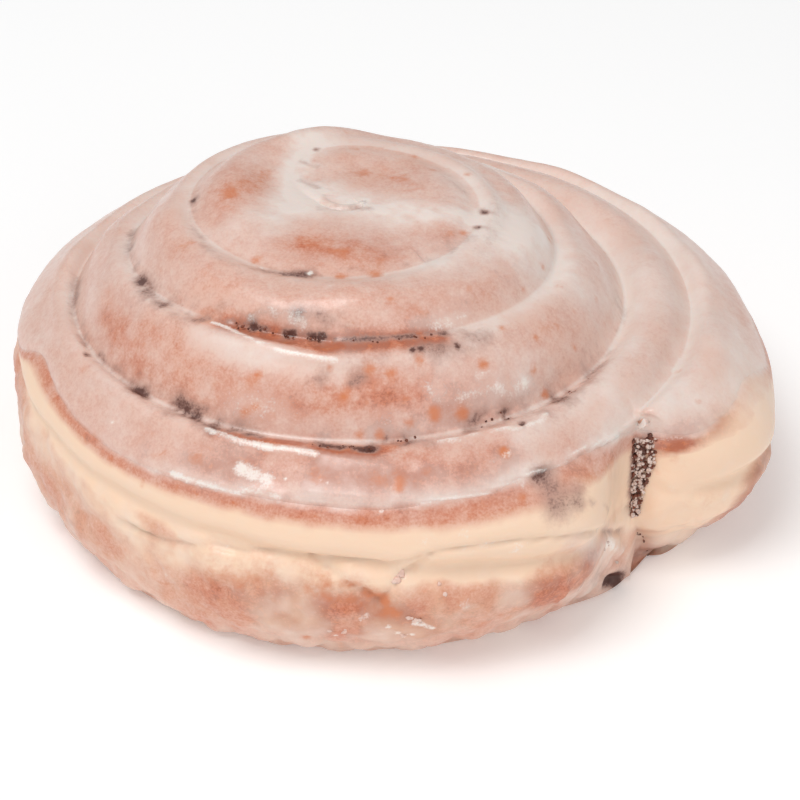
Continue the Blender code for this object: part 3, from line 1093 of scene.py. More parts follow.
# The outer coil in front, with painted highlights along its crest
FRONT_COIL = {Tint.WHITE_AND_GLINT: (
    (0.75, 1.1, 0.8, ((240, 469), (255, 474), (270, 480))),
    *dots(0.9, 0.35, 0.2, (286, 478), (381, 513), (137, 467), (320, 480), (328, 484)),
    (0.8, 0.6, 0.5, ((174, 475), (194, 483), (238, 491), (264, 492), (280, 499))),
    (0.8, 0.5, 0.2, ((112, 422),)),
    (0.5, 0.6, 0.8, ((490, 462), (500, 459), (509, 452))),
), Tint.HEIGHT: (
    (0.4, 0.7, 0.5, ((139, 466), (174, 476), (194, 485), (238, 493), (264, 493), (280, 500))),
    (0.25, 0.8, 0.0, ((111, 420),)),
), Tint.MILK_AND_LIGHT: (
    # Paler along the crest's glint line: painted highlight
    (0.2, 1.2, 0.3, ((155, 470), (174, 474), (194, 482), (238, 490), (280, 498))),
    (-0.12, 4.0, 0.5, ((220, 462), (300, 474), (400, 476), (480, 465))),
    (0.25, 1.6, 0.2, ((300, 496), (360, 502), (420, 498), (480, 486), (540, 462))),
), Tint.RUST: (
    *dots(0.5, 2.0, 1.0, (320, 478), (385, 478), (420, 478), (505, 455), (150, 450), (190, 460)),
    (0.5, 3.4, 1.0, ((220, 465), (300, 478), (400, 480), (500, 465))),
)}

# The glaze's raised edge with a painted highlight along it, and the stains under it
RIM_MARKS = {Tint.HEIGHT: (
    (0.5, 0.6, 0.3, BEAD),
), Tint.WHITE_AND_GLINT: (
    # Painted highlight along the top of the raised edge
    (0.62, 0.45, 0.3, BEAD_TOP),
    (0.7, 0.4, 0.5, ((657, 441), (670, 440), (684, 436))),
    *dots(0.45, 0.6, 0.3, (592, 473), (523, 489)),
), Tint.MILK_AND_LIGHT: (
    # Paler along the top of the raised edge: painted highlight
    (0.25, 0.8, 0.1, BEAD_TOP),
), Tint.RUST: (
    (0.7, 2.0, 0.9, ((654, 448), (668, 456), (680, 448))),
    (-0.6, 2.7, 0.15, GREY_PATCH),
    (0.55, 3.0, 1.1, ((575, 465), (600, 455), (612, 470))),
), Tint.SOOT_AND_SHADE: (
    (0.85, 2.7, 0.15, GREY_PATCH),
    (0.7, 1.8, 0.15, ((577, 486), (580, 500))),
    (0.55, 1.0, 0.6, ((534, 476), (542, 471), (552, 468))),
    (0.4, 0.6, 1.0, ((592, 503), (606, 505), (608, 512))),
), Tint.PALE: (
    (0.5, 3.5, 0.4, ((590, 500), (615, 500))),
), Tint.SPOT: (
    (0.3, 2.4, 1.4, ((578, 466), (604, 455), (612, 470))),
)}

# The side: its crease, the folds under it, and the crusty lower half
SIDE_MARKS = {Tint.HEIGHT: (
    (-0.7, 0.45, 0.2, CREASE),
    (-0.6, 0.5, 0.3, ((310, 558), (339, 574), (348, 583), (370, 594), (377, 603))),
    (-0.6, 0.6, 0.3, ((377, 603), (388, 592), (403, 572), (425, 560))),
    (0.5, 2.2, 0.2, ((352, 572), (378, 580), (395, 570))),
    (0.5, 2.4, 0.2, ((212, 560), (232, 570))),
    (0.35, 1.2, 0.8, DRIED_SPLASH),
    (0.6, 1.2, 0.6, ((612, 544), (620, 549))),
    (0.5, 0.5, 0.2, ((562, 575), (566, 590), (556, 600))),
    (-1.6, 1.1, 0.0, ((609, 582), (620, 580))),
), Tint.RUST: (
    (0.55, 0.5, 0.5, CREASE[1:2] + CREASE[3:]),
    (1.3, 0.8, 0.3, ((585, 534), (603, 533), (622, 531))),
    (0.45, 0.5, 0.5, ((310, 558), (339, 574), (348, 583), (370, 594))),
    (0.4, 3.0, 0.9, ((280, 622), (330, 630), (400, 632))),
    (0.5, 2.0, 0.8, ((375, 608), (395, 620), (415, 630))),
    (0.95, 2.2, 0.7, ((386, 604), (395, 612), (408, 624), (420, 632))),
    (-0.2, 5.0, 0.3, ((40, 425), (70, 465))),
    *dots(0.7, 0.8, 0.3, (600, 569), (624, 572)),
), Tint.SOOT_AND_SHADE: (
    (0.6, 0.6, 0.3, ((603, 533), (622, 531))),
    # The hole and the slit beside it: painted shade in them
    (2.4, 1.1, 0.0, ((609, 582), (619, 580))),
    (0.9, 0.35, 0.5, ((587, 578), (582, 584), (578, 590))),
    (0.35, 2.6, 0.8, ((595, 578), (625, 572))),
), Tint.PALE: (
    (0.9, 3.0, 0.1, ((335, 566), (365, 576), (385, 580), (405, 566))),
    (0.3, 3.0, 0.2, ((212, 560), (230, 566))),
    (0.6, 3.4, 0.3, ((120, 505), (150, 548), (180, 556), (270, 562), (310, 566))),
    (0.65, 4.0, 0.5, ((430, 570), (480, 560), (530, 555))),
    (0.4, 5.0, 0.3, ((40, 425), (70, 465), (100, 502))),
), Tint.WHITE_AND_GLINT: (
    (0.8, 0.7, 0.8, ((393, 582), (402, 574))),
    (0.35, 1.4, 0.8, ((425, 540), (445, 534), (470, 538))),
    (0.7, 0.7, 0.5, ((163, 565), (166, 574))),
    (0.5, 0.4, 0.5, ((214, 546), (226, 548))),
    *dots(0.9, 0.55, 0.8, (361, 618), (368, 614), (388, 626), (398, 632), (412, 633), (336, 634)),
    (0.9, 0.7, 0.8, ((416, 622), (424, 624), (431, 626))),
    (0.5, 1.4, 1.2, DRIED_SPLASH),
    (0.45, 1.6, 1.0, ((470, 548), (495, 546), (520, 546))),
    (0.6, 1.4, 1.1, ((606, 545), (616, 548), (618, 560))),
), Tint.SPOT: (
    (0.22, 4.0, 1.0, ((215, 552), (235, 560), (285, 562))),
    (0.3, 3.0, 1.0, ((320, 582), (345, 592))),
    (0.42, 2.6, 1.2, ((205, 578), (235, 582), (262, 580))),
    (0.42, 2.6, 1.2, ((335, 592), (358, 592), (372, 598))),
    (1.0, 1.7, 0.8, ((387, 604), (392, 611))),
    (0.4, 2.6, 1.1, ((540, 565), (550, 575), (545, 590))),
), Tint.MILK_AND_LIGHT: (
    (-0.5, 2.2, 0.5, ((384, 600), (395, 612), (408, 624), (420, 632))),
    (0.45, 2.5, 0.5, ((575, 545), (600, 545), (615, 550))),
    (0.3, 4.0, 0.3, ((585, 585), (600, 600), (625, 590))),
)}

# The tail's end and the wedge beside it
TAIL_MARKS = {Tint.PALE: (
    (0.95, 6.5, 0.15, ((690, 470), (680, 505), (672, 540))),
    (0.8, 6.0, 0.2, ((725, 450), (755, 425), (768, 395))),
    (-0.8, 3.0, 0.5, ((650, 448), (664, 454), (684, 446))),
), Tint.MILK_AND_LIGHT: (
    (-0.2, 6.0, 0.1, ((690, 480), (680, 520))),
    (0.35, 5.0, 0.2, ((620, 425), (660, 425), (690, 410))),
    # Painted light: paler at the lobe's right edge, which the lamps leave darker
    (0.3, 6.0, 0.2, ((758, 370), (760, 395))),
    (-0.25, 4.0, 0.4, ((690, 434), (712, 426))),
), Tint.HEIGHT: (
    (0.35, 1.3, 0.3, ((662, 480), (672, 486), (690, 488))),
    (0.5, 3.0, 0.2, ((670, 500), (700, 520))),
), Tint.WHITE_AND_GLINT: (
    # Painted highlight on the wrinkle
    (0.35, 1.2, 0.6, ((662, 480), (672, 486))),
), Tint.RUST: (
    (0.9, 0.6, 0.6, ((634, 515), (639, 532), (648, 554), (649, 566))),
    (0.8, 1.6, 0.6, ((644, 446), (640, 460), (636, 480), (634, 508))),
    (0.9, 0.6, 0.4, ((643, 583), (655, 585))),
    (0.3, 4.0, 0.6, ((690, 432), (712, 424))),
), Tint.SOOT_AND_SHADE: (
    (0.65, 1.3, 0.6, ((648, 560), (650, 568))),
    (0.8, 1.3, 0.6, ((644, 446), (640, 460), (636, 480), (634, 500))),
), Tint.SPOT: (
    (0.3, 2.6, 1.4, ((652, 450), (656, 464), (668, 456))),
    (0.25, 4.0, 0.8, ((700, 505), (715, 520))),
)}

# Browner stretches of the pale crust: more rust and less of the pale tint over it
BROWNED = (
    (0.28, 4.0, 0.7, ((200, 583), (235, 586), (265, 582))),
    (0.32, 3.2, 0.7, ((330, 598), (355, 594), (372, 600))),
    (0.35, 4.0, 0.7, ((545, 560), (548, 580), (552, 595))),
    (0.45, 3.0, 0.7, ((575, 548), (592, 560))),
    (0.75, 2.8, 0.3, ((774, 452), (756, 475), (742, 500))),
    (0.45, 5.0, 0.7, ((735, 515), (712, 548), (680, 570))),
    (0.4, 3.4, 0.7, ((662, 560), (655, 575))),
    (0.4, 2.6, 0.7, ((664, 446), (690, 438), (716, 426))),
    (0.22, 4.0, 0.7, ((650, 490), (655, 520), (662, 545))),
)


def all_marks() -> list[Mark]:
    """Every mark of the tables, and the two marks of each browner stretch."""
    tables = (ORANGE_SPOTS, EYE_MARKS, SECOND_GROOVE, THIRD_GROOVE, RIDGE_MARKS, FRONT_COIL, RIM_MARKS,
              SIDE_MARKS, TAIL_MARKS)
    listed = [Mark(tint, *row) for table in tables for tint, rows in table.items() for row in rows]
    rusty = [Mark(Tint.RUST, *row) for row in BROWNED]
    less_pale = [Mark(Tint.PALE, -amount, *rest) for amount, *rest in BROWNED]
    return listed + rusty + less_pale


@dataclass(frozen=True)
class SeamPlace:
    """Where points lie between the turns of the seam."""

    turn: Array
    from_inner: Array
    to_outer: Array
    plan: Array
    radius: Array


def seam_place(seam: Seam, points: Array) -> SeamPlace:
    """Works out the coil that each point is in, and its distance to the seams inside and outside it.

    Args:
        seam: the spiral.
        points: places in millimetres.

    Returns:
        The places between the seams.
    """
    x, y = points[:, 0] - seam.eye_x, points[:, 1] - seam.eye_y
    radius = np.hypot(x, y)
    plan = np.degrees(np.arctan2(y, x))
    first = (seam.turn_of_plus_x - plan) % FULL_TURN - FULL_TURN
    turn = np.full(len(points), -FULL_TURN)
    from_inner = radius.copy()
    to_outer = np.full(len(points), FAR)
    for number in range(SEAM_TURNS):
        candidate = first + FULL_TURN * number
        there = (candidate > seam.start) & (candidate <= seam.end)
        gap = radius - seam.radius(candidate)
        inside = there & (gap >= 0.0)
        turn = np.where(inside, candidate, turn)
        from_inner = np.where(inside, gap, from_inner)
        outside = there & (gap < 0.0)
        to_outer = np.where(outside, np.minimum(to_outer, -gap), to_outer)
    return SeamPlace(turn, from_inner, to_outer, plan, radius)


@dataclass(frozen=True)
class Rim:
    """The lower edge of the glaze round the side: through places in the frame in front, level behind."""

    path: Path = (
        (40, 350), (52, 385), (72, 418), (100, 445), (139, 467), (174, 479), (194, 487), (238, 495),
        (280, 502), (330, 508), (380, 510), (421, 506), (440, 502), (483, 495), (512, 485),
        (536, 472), (565, 462), (584, 450), (618, 438),
    )
    tail_path: Path = ((655, 442), (684, 438), (712, 428), (735, 405), (748, 375))
    behind: float = 25.0
    behind_stops: int = 5
    behind_from: float = 8.0
    step: float = 2.0

    def height(self, finder: Finder, form: RollForm, turn: Array) -> Array:
        """Height of the glaze's edge, from the two paths in front and level behind, slightly smoothed.

        Args:
            finder: finds the paths' points on the skin.
            form: the roll's form.
            turn: turns of the last coil.

        Returns:
            A height for each turn.
        """
        known = np.concatenate([finder.path(self.path), finder.path(self.tail_path)])
        around = seam_place(form.seam, known)
        base = form.seam.end - FULL_TURN
        at = (form.seam.turn_of_plus_x - around.plan - base) % FULL_TURN
        order = np.argsort(at)
        at, heights = at[order], known[order, 2]
        widest = int(np.argmax(np.diff(at)))
        low, high = at[widest], at[widest + 1]
        between = np.linspace(low + self.behind_from, high - self.behind_from, self.behind_stops)
        at = np.insert(at, widest + 1, between)
        heights = np.insert(heights, widest + 1, np.full(self.behind_stops, self.behind))
        smooth = np.arange(0.0, FULL_TURN, self.step)
        level = np.interp(smooth, at, heights, period=FULL_TURN)
        weights = np.array([1.0, 2.0, 3.0, 2.0, 1.0]) / 9.0
        level = np.convolve(np.concatenate([level[-2:], level, level[:2]]), weights, "valid")
        return np.interp((turn - base) % FULL_TURN, smooth, level, period=FULL_TURN)


@dataclass
class Paint:
    """The layers of colour and relief of the crust and the glaze, the same on every skin."""

    form: RollForm
    finder: Finder
    rim: Rim
    marks: list[Mark]
    clouds: tuple[tuple[float, int], ...] = ((16.0, 3), (5.0, 5), (2.0, 9))
    inner_reach: float = 2.4
    outer_reach: float = 2.2
    crest_at: float = 4.2
    crest_reach: float = 2.6
    lobe_reach: float = 22.0
    grey_below: float = 11.0
    brown_below: float = 7.0
    box_widths: float = 3.0

    def __post_init__(self) -> None:
        """Finds every mark's path once."""
        self.paths = [self.finder.path(mark.path) for mark in self.marks]

    def layers(self, points: Array, turn: Array, level: Array) -> dict[Tint, Array]:
        """Values of all layers: those of the top and those of the side, each by its share, and the marks.

        Args:
            points: places in millimetres.
            turn: turns of their columns.
            level: 1 on top, 0 underneath and the share of height on the side.

        Returns:
            An array for each tint, mostly between 0 and 1, and the relief in millimetres.
        """
        seam = self.form.seam
        where = seam_place(seam, points)
        broad, middle, small = (cloud(points, cell, seed) for cell, seed in self.clouds)
        z = points[:, 2]
        side = smoothstep((where.radius - self.shoulder(where) + 1.5) / 3.0)
        side = np.maximum(side, smoothstep((1.0 - level) * self.form.shoulder_height / 2.0))
        top = 1.0 - side
        inner = bell(where.from_inner, self.inner_reach) * (where.turn > seam.start)
        outer = bell(where.to_outer, self.outer_reach)
        crest = bell(where.to_outer - self.crest_at, self.crest_reach)
        back = smoothstep((points[:, 1] + 5.0) / 45.0)
        right = smoothstep((points[:, 0] - 10.0) / 40.0)
        milk = 0.38 + 0.14 * broad + 0.10 * middle + 0.34 * inner + 0.06 * outer + 0.14 * back + 0.22 * right
        rust = 0.30 + 0.20 * broad + 0.20 * middle + 0.16 * crest - 0.25 * inner - 0.15 * right

        down = self.share_down(z, turn)
        uneven = down + 0.05 * middle + 0.03 * small
        coat = smoothstep((0.03 - uneven) / 0.08)
        band = bell(uneven - 0.08, 0.15)
        lower = smoothstep((down - 1.0) / 0.25)
        cream = smoothstep((uneven - 0.15) / 0.20)
        cream = cream * (1.0 - 0.9 * smoothstep((down - 1.02 + 0.3 * broad) / 0.3))
        lobe = bump(where.plan - self.form.lobe_angle, self.lobe_reach)
        cream = np.maximum(cream, lobe * smoothstep((uneven - 0.3) / 0.3) * smoothstep((2.1 - down) / 0.6))
        grey = smoothstep((self.grey_below - z + 3.0 * broad) / 7.0)
        milk_side = 0.48 * coat + 0.10 * band + lower * (0.08 + 0.20 * middle + 0.12 * small) + 0.22 * grey
        rust_side = 0.40 * coat + (0.62 + 0.25 * middle) * band
        rust_side = rust_side + lower * (0.72 + 0.30 * broad + 0.34 * middle)
        specks = np.clip(small * 1.4 + 0.35, 0.0, 1.0) * seam.opening(where.turn + FULL_TURN)

        layers = {
            Tint.MILK_AND_LIGHT: milk * top + milk_side * side,
            Tint.RUST: rust * top + rust_side * side,
            Tint.PALE: np.clip(cream + lower * (0.22 + 0.35 * middle) - 0.2 * band, 0.0, 1.0) * side,
            Tint.SOOT_AND_SHADE: (0.22 * outer + 0.16 * inner) * specks * top,
            Tint.SPOT: np.zeros(len(points)),
            # White along the outer edge of each coil: white glaze with a painted highlight on it
            Tint.WHITE_AND_GLINT: np.clip(0.30 * outer * (middle + 0.4), 0.0, 1.0) * top,
            Tint.GLOSS: np.clip(0.75 * top + 0.75 * coat * side + 0.25 * lower * side, 0.0, 1.0),
            Tint.HEIGHT: 0.05 * small + 0.10 * middle * side + self.blisters(points, lower * side),
        }
        self.scatter_spots(points, layers)
        self.add_marks(points, 0.6 * middle + 1.2 * small, layers)
        under = smoothstep(1.0 - z) * (level <= 0.0)
        foot = 0.30 * smoothstep((self.brown_below - z) / self.brown_below)
        layers[Tint.RUST] = (layers[Tint.RUST] + foot) * (1.0 - under) + 0.75 * under
        layers[Tint.MILK_AND_LIGHT] = layers[Tint.MILK_AND_LIGHT] * (1.0 - under) + 0.10 * under
        return layers

    def share_down(self, z: Array, turn: Array) -> Array:
        """How far down the side a point is: 0 at the glaze's edge and 1 at the waist."""
        edge = self.rim.height(self.finder, self.form, turn)
        fall = self.form.waist_fall * bump(turn - self.form.seam.end, self.form.waist_fall_spread)
        return (edge - z) / np.maximum(edge - self.form.waist_height + fall, 3.0)

    def add_marks(self, points: Array, unevenness: Array, layers: dict[Tint, Array]) -> None:
        """Adds every mark to its layer: amount * bell of the distance to its path * raggedness.

        Args:
            points: places in millimetres.
            unevenness: the noise that makes a mark ragged.
            layers: the layers, changed in place.
        """
        for mark, path in zip(self.marks, self.paths):
            box = self.box_widths * mark.width
            near = np.all((points > path.min(axis=0) - box) & (points < path.max(axis=0) + box), axis=1)
            fade = bell(distance_to(path, points[near]), mark.width)
            rough = np.clip(1.0 + mark.ragged * unevenness[near], 0.0, 1.5)
            layers[mark.tint][near] += mark.amount * fade * rough

    def blisters(self, points: Array, lower: Array) -> Array:
        """Relief of the crusty lower side: round lumps of two sizes, larger towards the foot.

        Args:
            points: places in millimetres.
            lower: share of the lower side at each point.

        Returns:
            Millimetres outwards.
        """
        big, _ = pebbles(points, 4.6, 12)
        fine, value = pebbles(points * np.array([1.0, 1.0, 1.5]), 2.1, 14)
        near_foot = smoothstep((9.0 - points[:, 2]) / 9.0)
        return lower * ((0.8 + 1.3 * near_foot) * (0.35 - big**2) + 0.5 * value * (0.5 - fine**2))

    def shoulder(self, where: SeamPlace) -> Array:
        """Distance from the eye to the shoulder at each point's plan angle."""
        base = self.form.seam.end - FULL_TURN
        turn = base + (self.form.seam.turn_of_plus_x - where.plan - base) % FULL_TURN
        return self.form.edges(turn)[2] - self.form.shoulder_inset

    def scatter_spots(self, points: Array, layers: dict[Tint, Array]) -> None:
        """Adds small orange blisters and rusty freckles at the lattice's seeds with the highest values.

        Args:
            points: places in millimetres.
            layers: the layers, changed in place.
        """
        for tint, cell, seed, least, width, wider, amount in (
            (Tint.SPOT, 5.5, 4, 0.62, 0.4, 0.5, 0.55),
            (Tint.RUST, 3.1, 6, 0.55, 0.4, 0.0, 0.35),
        ):
            gap, value = pebbles(points, cell, seed)
            layers[tint] += amount * (value > least) * bell(gap * cell, width + wider * value)


def store(piece: bpy.types.Object, layers: dict[Tint, Array]) -> None:
    """Keeps the layers as attributes of the piece's points."""
    for tint, values in layers.items():
        if tint is Tint.HEIGHT:
            continue
        attribute = piece.data.attributes.new(tint.value, "FLOAT", "POINT")
        attribute.data.foreach_set("value", np.clip(values, 0.0, 1.6).astype(np.float32))


@dataclass
class Tree:
    """A short way to add and join the nodes of one material."""

    name: str

    def __post_init__(self) -> None:
        """Makes the material with its shader."""
        self.material = bpy.data.materials.new(self.name)
        self.material.use_nodes = True
        self.nodes = self.material.node_tree.nodes
        self.links = self.material.node_tree.links
        self.shader = self.nodes["Principled BSDF"]
        self.coordinates = self.nodes.new("ShaderNodeTexCoord").outputs["Object"]

    def value(self, socket: Socket, value: Socket | float | tuple[float, ...]) -> None:
        """Joins or sets one input."""
        if isinstance(value, bpy.types.NodeSocket):
            self.links.new(value, socket)
        else:
            socket.default_value = value

    def math(self, operation: str, a: Socket | float, b: Socket | float, clamp: bool = False) -> Socket:
        """A Math node of two values."""
        node = self.nodes.new("ShaderNodeMath")
        node.operation = operation
        node.use_clamp = clamp
        self.value(node.inputs[0], a)
        self.value(node.inputs[1], b)
        return node.outputs[0]

    def plus(self, base: Socket | float, other: Socket, times: float, clamp: bool = False) -> Socket:
        """base + times * other."""
        return self.math("ADD", base, self.math("MULTIPLY", other, times), clamp)

    def attribute(self, tint: Tint) -> Socket:
        """One layer of the skin."""
        node = self.nodes.new("ShaderNodeAttribute")
        node.attribute_name = tint.value
        return node.outputs["Fac"]

    def noise(self, size: float, detail: float = 3.0, rough: float = 0.55, twist: float = 0.0) -> Socket:
        """Noise with cells of this size in millimetres."""
        node = self.nodes.new("ShaderNodeTexNoise")
        values = {"Scale": 1.0 / (size * MM), "Detail": detail, "Roughness": rough, "Distortion": twist}
        for name, value in values.items():
            node.inputs[name].default_value = value
        self.links.new(self.coordinates, node.inputs["Vector"])
        return node.outputs["Fac"]

    def ramp(self, value: Socket, low: float, high: float) -> Socket:
        """0 at low, 1 at high and smooth between."""
        node = self.nodes.new("ShaderNodeMapRange")
        node.interpolation_type = "SMOOTHSTEP"
        self.value(node.inputs["Value"], value)
        node.inputs["From Min"].default_value = low
        node.inputs["From Max"].default_value = high
        return node.outputs["Result"]

    def mix(self, share: Socket, a: Socket | Colour, b: Colour) -> Socket:
        """A mix of two colours."""
        node = self.nodes.new("ShaderNodeMix")
        node.data_type = "RGBA"
        self.value(node.inputs["Factor"], share)
        self.value(node.inputs[6], a)
        self.value(node.inputs[7], b)
        return node.outputs[2]

    def over(
        self, under: Socket, layer: Socket, low: float, high: float, most: float, upper: Colour
    ) -> Socket:
        """A colour over another: its share rises from 0 to the most as the layer rises from low to high."""
        return self.mix(self.math("MULTIPLY", self.ramp(layer, low, high), most), under, upper)

    def shade(self, values: dict[str, Socket | float | tuple[float, ...]]) -> bpy.types.Material:
        """Joins or sets the shader's inputs, and gives the material."""
        for name, value in values.items():
            self.value(self.shader.inputs[name], value)
        return self.material

    def bump(self, height: Socket, strength: float, distance: float) -> None:
        """A Bump node on the shader's normal."""
        node = self.nodes.new("ShaderNodeBump")
        node.inputs["Strength"].default_value = strength
        node.inputs["Distance"].default_value = distance * MM
        self.links.new(height, node.inputs["Height"])
        self.links.new(node.outputs["Normal"], self.shader.inputs["Normal"])


def srgb(red: float, green: float, blue: float) -> Colour:
    """A linear colour from screen values between 0 and 255."""
    values = np.array([red, green, blue]) / 255.0
    linear = np.where(values <= 0.04045, values / 12.92, ((values + 0.055) / 1.055) ** 2.4)
    return (*(float(v) for v in linear), 1.0)


@dataclass(frozen=True)
class CrustFinish:
    """Fried crust under a thin milky glaze, with cinnamon stains, orange blisters, dried white sugar, painted
    highlights and painted shade.
    """

    name: str
    salmon: Colour = srgb(222, 164, 140)
    rust: Colour = srgb(202, 118, 84)
    deep: Colour = srgb(158, 82, 54)
    pale: Colour = srgb(247, 214, 186)
    milk: Colour = srgb(238, 222, 213)
    soot_and_shade: Colour = srgb(82, 38, 28)
    # Grey haze, for faint stains and for painted shade
    haze: Colour = srgb(178, 139, 126)
    orange: Colour = srgb(212, 124, 76)
    # White sugar, and the colour of painted highlights
    white: Colour = srgb(248, 238, 230)
    coat: float = 0.25
    coat_roughness: float = 0.12
    subsurface: float = 0.12
    subsurface_radius: tuple[float, float, float] = (1.0, 0.45, 0.30)
    subsurface_scale: float = 0.0015

    def material(self) -> bpy.types.Material:
        """Builds the material: crust colours, then glaze, stains with painted shade, blisters, and white
        sugar with painted highlights over them.
        """
        tree = Tree(self.name)
        fine = tree.noise(0.55, 4.0, 0.65)
        grain = tree.noise(1.6, 4.0, 0.6)
        uneven = tree.plus(tree.math("MULTIPLY", fine, 0.5), grain, 0.5)
        centred = tree.math("SUBTRACT", uneven, 0.5)
        specked = tree.math("SUBTRACT", tree.noise(0.32, 2.0, 0.5), 0.5)
        blotched = tree.math("SUBTRACT", tree.noise(4.5, 3.0, 0.55, 0.4), 0.5)
        freckle = tree.plus(tree.math("MULTIPLY", centred, 1.7), specked, 0.9)
        rust = tree.math("ADD", tree.attribute(Tint.RUST), freckle, clamp=True)
        colour = tree.mix(tree.ramp(rust, 0.0, 0.9), self.salmon, self.rust)
        colour = tree.mix(tree.ramp(rust, 0.75, 1.25), colour, self.deep)
        dotted = tree.ramp(tree.noise(0.9, 2.0, 0.5), 0.56, 0.72)
        dotted = tree.math("MULTIPLY", dotted, tree.ramp(rust, 0.25, 0.9))
        colour = tree.mix(tree.math("MULTIPLY", dotted, 0.55), colour, self.orange)
        colour = tree.mix(tree.attribute(Tint.PALE), colour, self.pale)
        milk = tree.plus(tree.attribute(Tint.MILK_AND_LIGHT), blotched, 0.5)
        colour = tree.mix(tree.plus(milk, centred, -0.35, clamp=True), colour, self.milk)
        # Cinnamon stains and painted shade: first a grey haze, then dark brown
        stain_and_shade = tree.attribute(Tint.SOOT_AND_SHADE)
        colour = tree.over(colour, tree.plus(stain_and_shade, centred, 0.8), 0.12, 1.0, 0.85, self.haze)
        soot_and_shade = tree.plus(tree.plus(stain_and_shade, centred, 1.2), specked, 0.8)
        colour = tree.over(colour, soot_and_shade, 0.68, 1.4, 0.9, self.soot_and_shade)
        spot = tree.plus(tree.attribute(Tint.SPOT), centred, 0.9)
        colour = tree.over(colour, spot, 0.12, 1.1, 0.9, self.orange)
        # White sugar and painted highlights
        white = tree.plus(tree.plus(tree.attribute(Tint.WHITE_AND_GLINT), centred, 1.3), specked, 0.7)
        colour = tree.over(colour, white, 0.3, 1.0, 0.85, self.white)
        dull = tree.plus(0.62, tree.attribute(Tint.GLOSS), -0.32)
        tree.bump(uneven, 0.35, 0.10)
        return tree.shade({
            "Base Color": colour,
            "Roughness": tree.plus(dull, centred, 0.25, clamp=True),
            "Coat Weight": self.coat,
            "Coat Roughness": self.coat_roughness,
            "Subsurface Weight": self.subsurface,
            "Subsurface Radius": self.subsurface_radius,
            "Subsurface Scale": self.subsurface_scale,
        })

    def flakes(self) -> bpy.types.Material:
        """Dried white sugar alone."""
        tree = Tree(self.name)
        colour = tree.mix(tree.noise(0.9), self.milk, self.salmon)
        tree.bump(tree.noise(0.35), 0.5, 0.08)
        return tree.shade({"Base Color": colour, "Roughness": tree.ramp(tree.noise(0.5), 0.0, 1.4)})


@dataclass(frozen=True)
class CinnamonFinish:
    """Dark, sticky ground cinnamon and sugar."""

    name: str = "sticky_cinnamon"
    dark: Colour = srgb(80, 42, 32)
    brown: Colour = srgb(140, 72, 46)
    light: Colour = srgb(176, 112, 84)

    def material(self) -> bpy.types.Material:
        """Builds the material: dark brown with red-brown sugar and fine grains."""
        tree = Tree(self.name)
        fine = tree.noise(0.4, 5.0, 0.7)
        grain = tree.noise(1.3, 4.0, 0.6)
        colour = tree.mix(tree.ramp(grain, 0.35, 0.7), self.dark, self.brown)
        colour = tree.mix(tree.ramp(fine, 0.55, 0.75), colour, self.light)
        tree.bump(fine, 0.6, 0.2)
        return tree.shade({"Base Color": colour, "Roughness": tree.plus(0.2, grain, 0.4)})


@dataclass(frozen=True)
class SugarFinish:
    """Sugar crystals, pale with a brown cast."""

    name: str = "sugar"
    bright: Colour = srgb(238, 222, 212)
    brown: Colour = srgb(184, 146, 132)
    coat: float = 0.6

    def material(self) -> bpy.types.Material:
        """Builds the material: two tones in fine noise, with an uneven gloss."""
        tree = Tree(self.name)
        colour = tree.mix(tree.noise(1.1), self.bright, self.brown)
        tree.bump(tree.noise(0.3), 0.3, 0.05)
        gloss = tree.ramp(tree.noise(0.7), 0.2, 1.6)
        return tree.shade({"Base Color": colour, "Roughness": gloss, "Coat Weight": self.coat})


@dataclass
class Dough:
    """The fried dough: the whole skin of the roll, with its crusty side and its underside."""

    form: RollForm
    columns: int = 800
    top_rows: int = 6
    side_rows: int = 52
    foot_shares: tuple[float, ...] = (0.0, 0.13, 0.5, 0.87)
    sunk: float = 0.35
    tip_sunk: float = 1.2
    tip_reach: float = 5.0

    def skin(self) -> CoilSkin:
        """The dough's grid."""
        shares = (1.0 - np.cos(np.pi * np.arange(self.top_rows) / self.top_rows)) / 2.0
        levels = np.linspace(1.0, 0.0, self.side_rows + 1)
        skin = CoilSkin(self.form, self.columns, shares, levels, np.array(self.foot_shares))
        skin.ease_shoulder()
        return skin

    def build(self, skin: CoilSkin, paint: Paint) -> bpy.types.Object:
        """Makes the dough, which stands for the solid coil: its skin + relief - a little under the glaze.

        Args:
            skin: the dough's grid.
            paint: the layers of colour and relief.

        Returns:
            The piece.
        """
        layers = paint.layers(skin.points, skin.turn, skin.level)
        normals = skin.normals(skin.points)
        on_side = (skin.level < 1.0) & (skin.level > 0.0)
        edge = paint.rim.height(paint.finder, self.form, skin.turn)
        glazed = smoothstep((skin.points[:, 2] - edge + 0.2) / 1.2) * (skin.level > 0.4)
        at_tip = bell(skin.turn - self.form.seam.end, self.tip_reach) * (skin.level >= 1.0)
        rise = layers[Tint.HEIGHT] * on_side - self.sunk * glazed - self.tip_sunk * at_tip
        points = skin.points + normals * rise[:, None]
        piece = make_mesh("dough", points, skin.quads, skin.triangles)
        store(piece, layers)
        piece.data.materials.append(CrustFinish("fried_dough").material())
        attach(piece, BODY)
        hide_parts("dough_coil")
        LOG.info("dough: %d points, %d faces", len(points), len(skin.quads) + len(skin.triangles))
        return piece


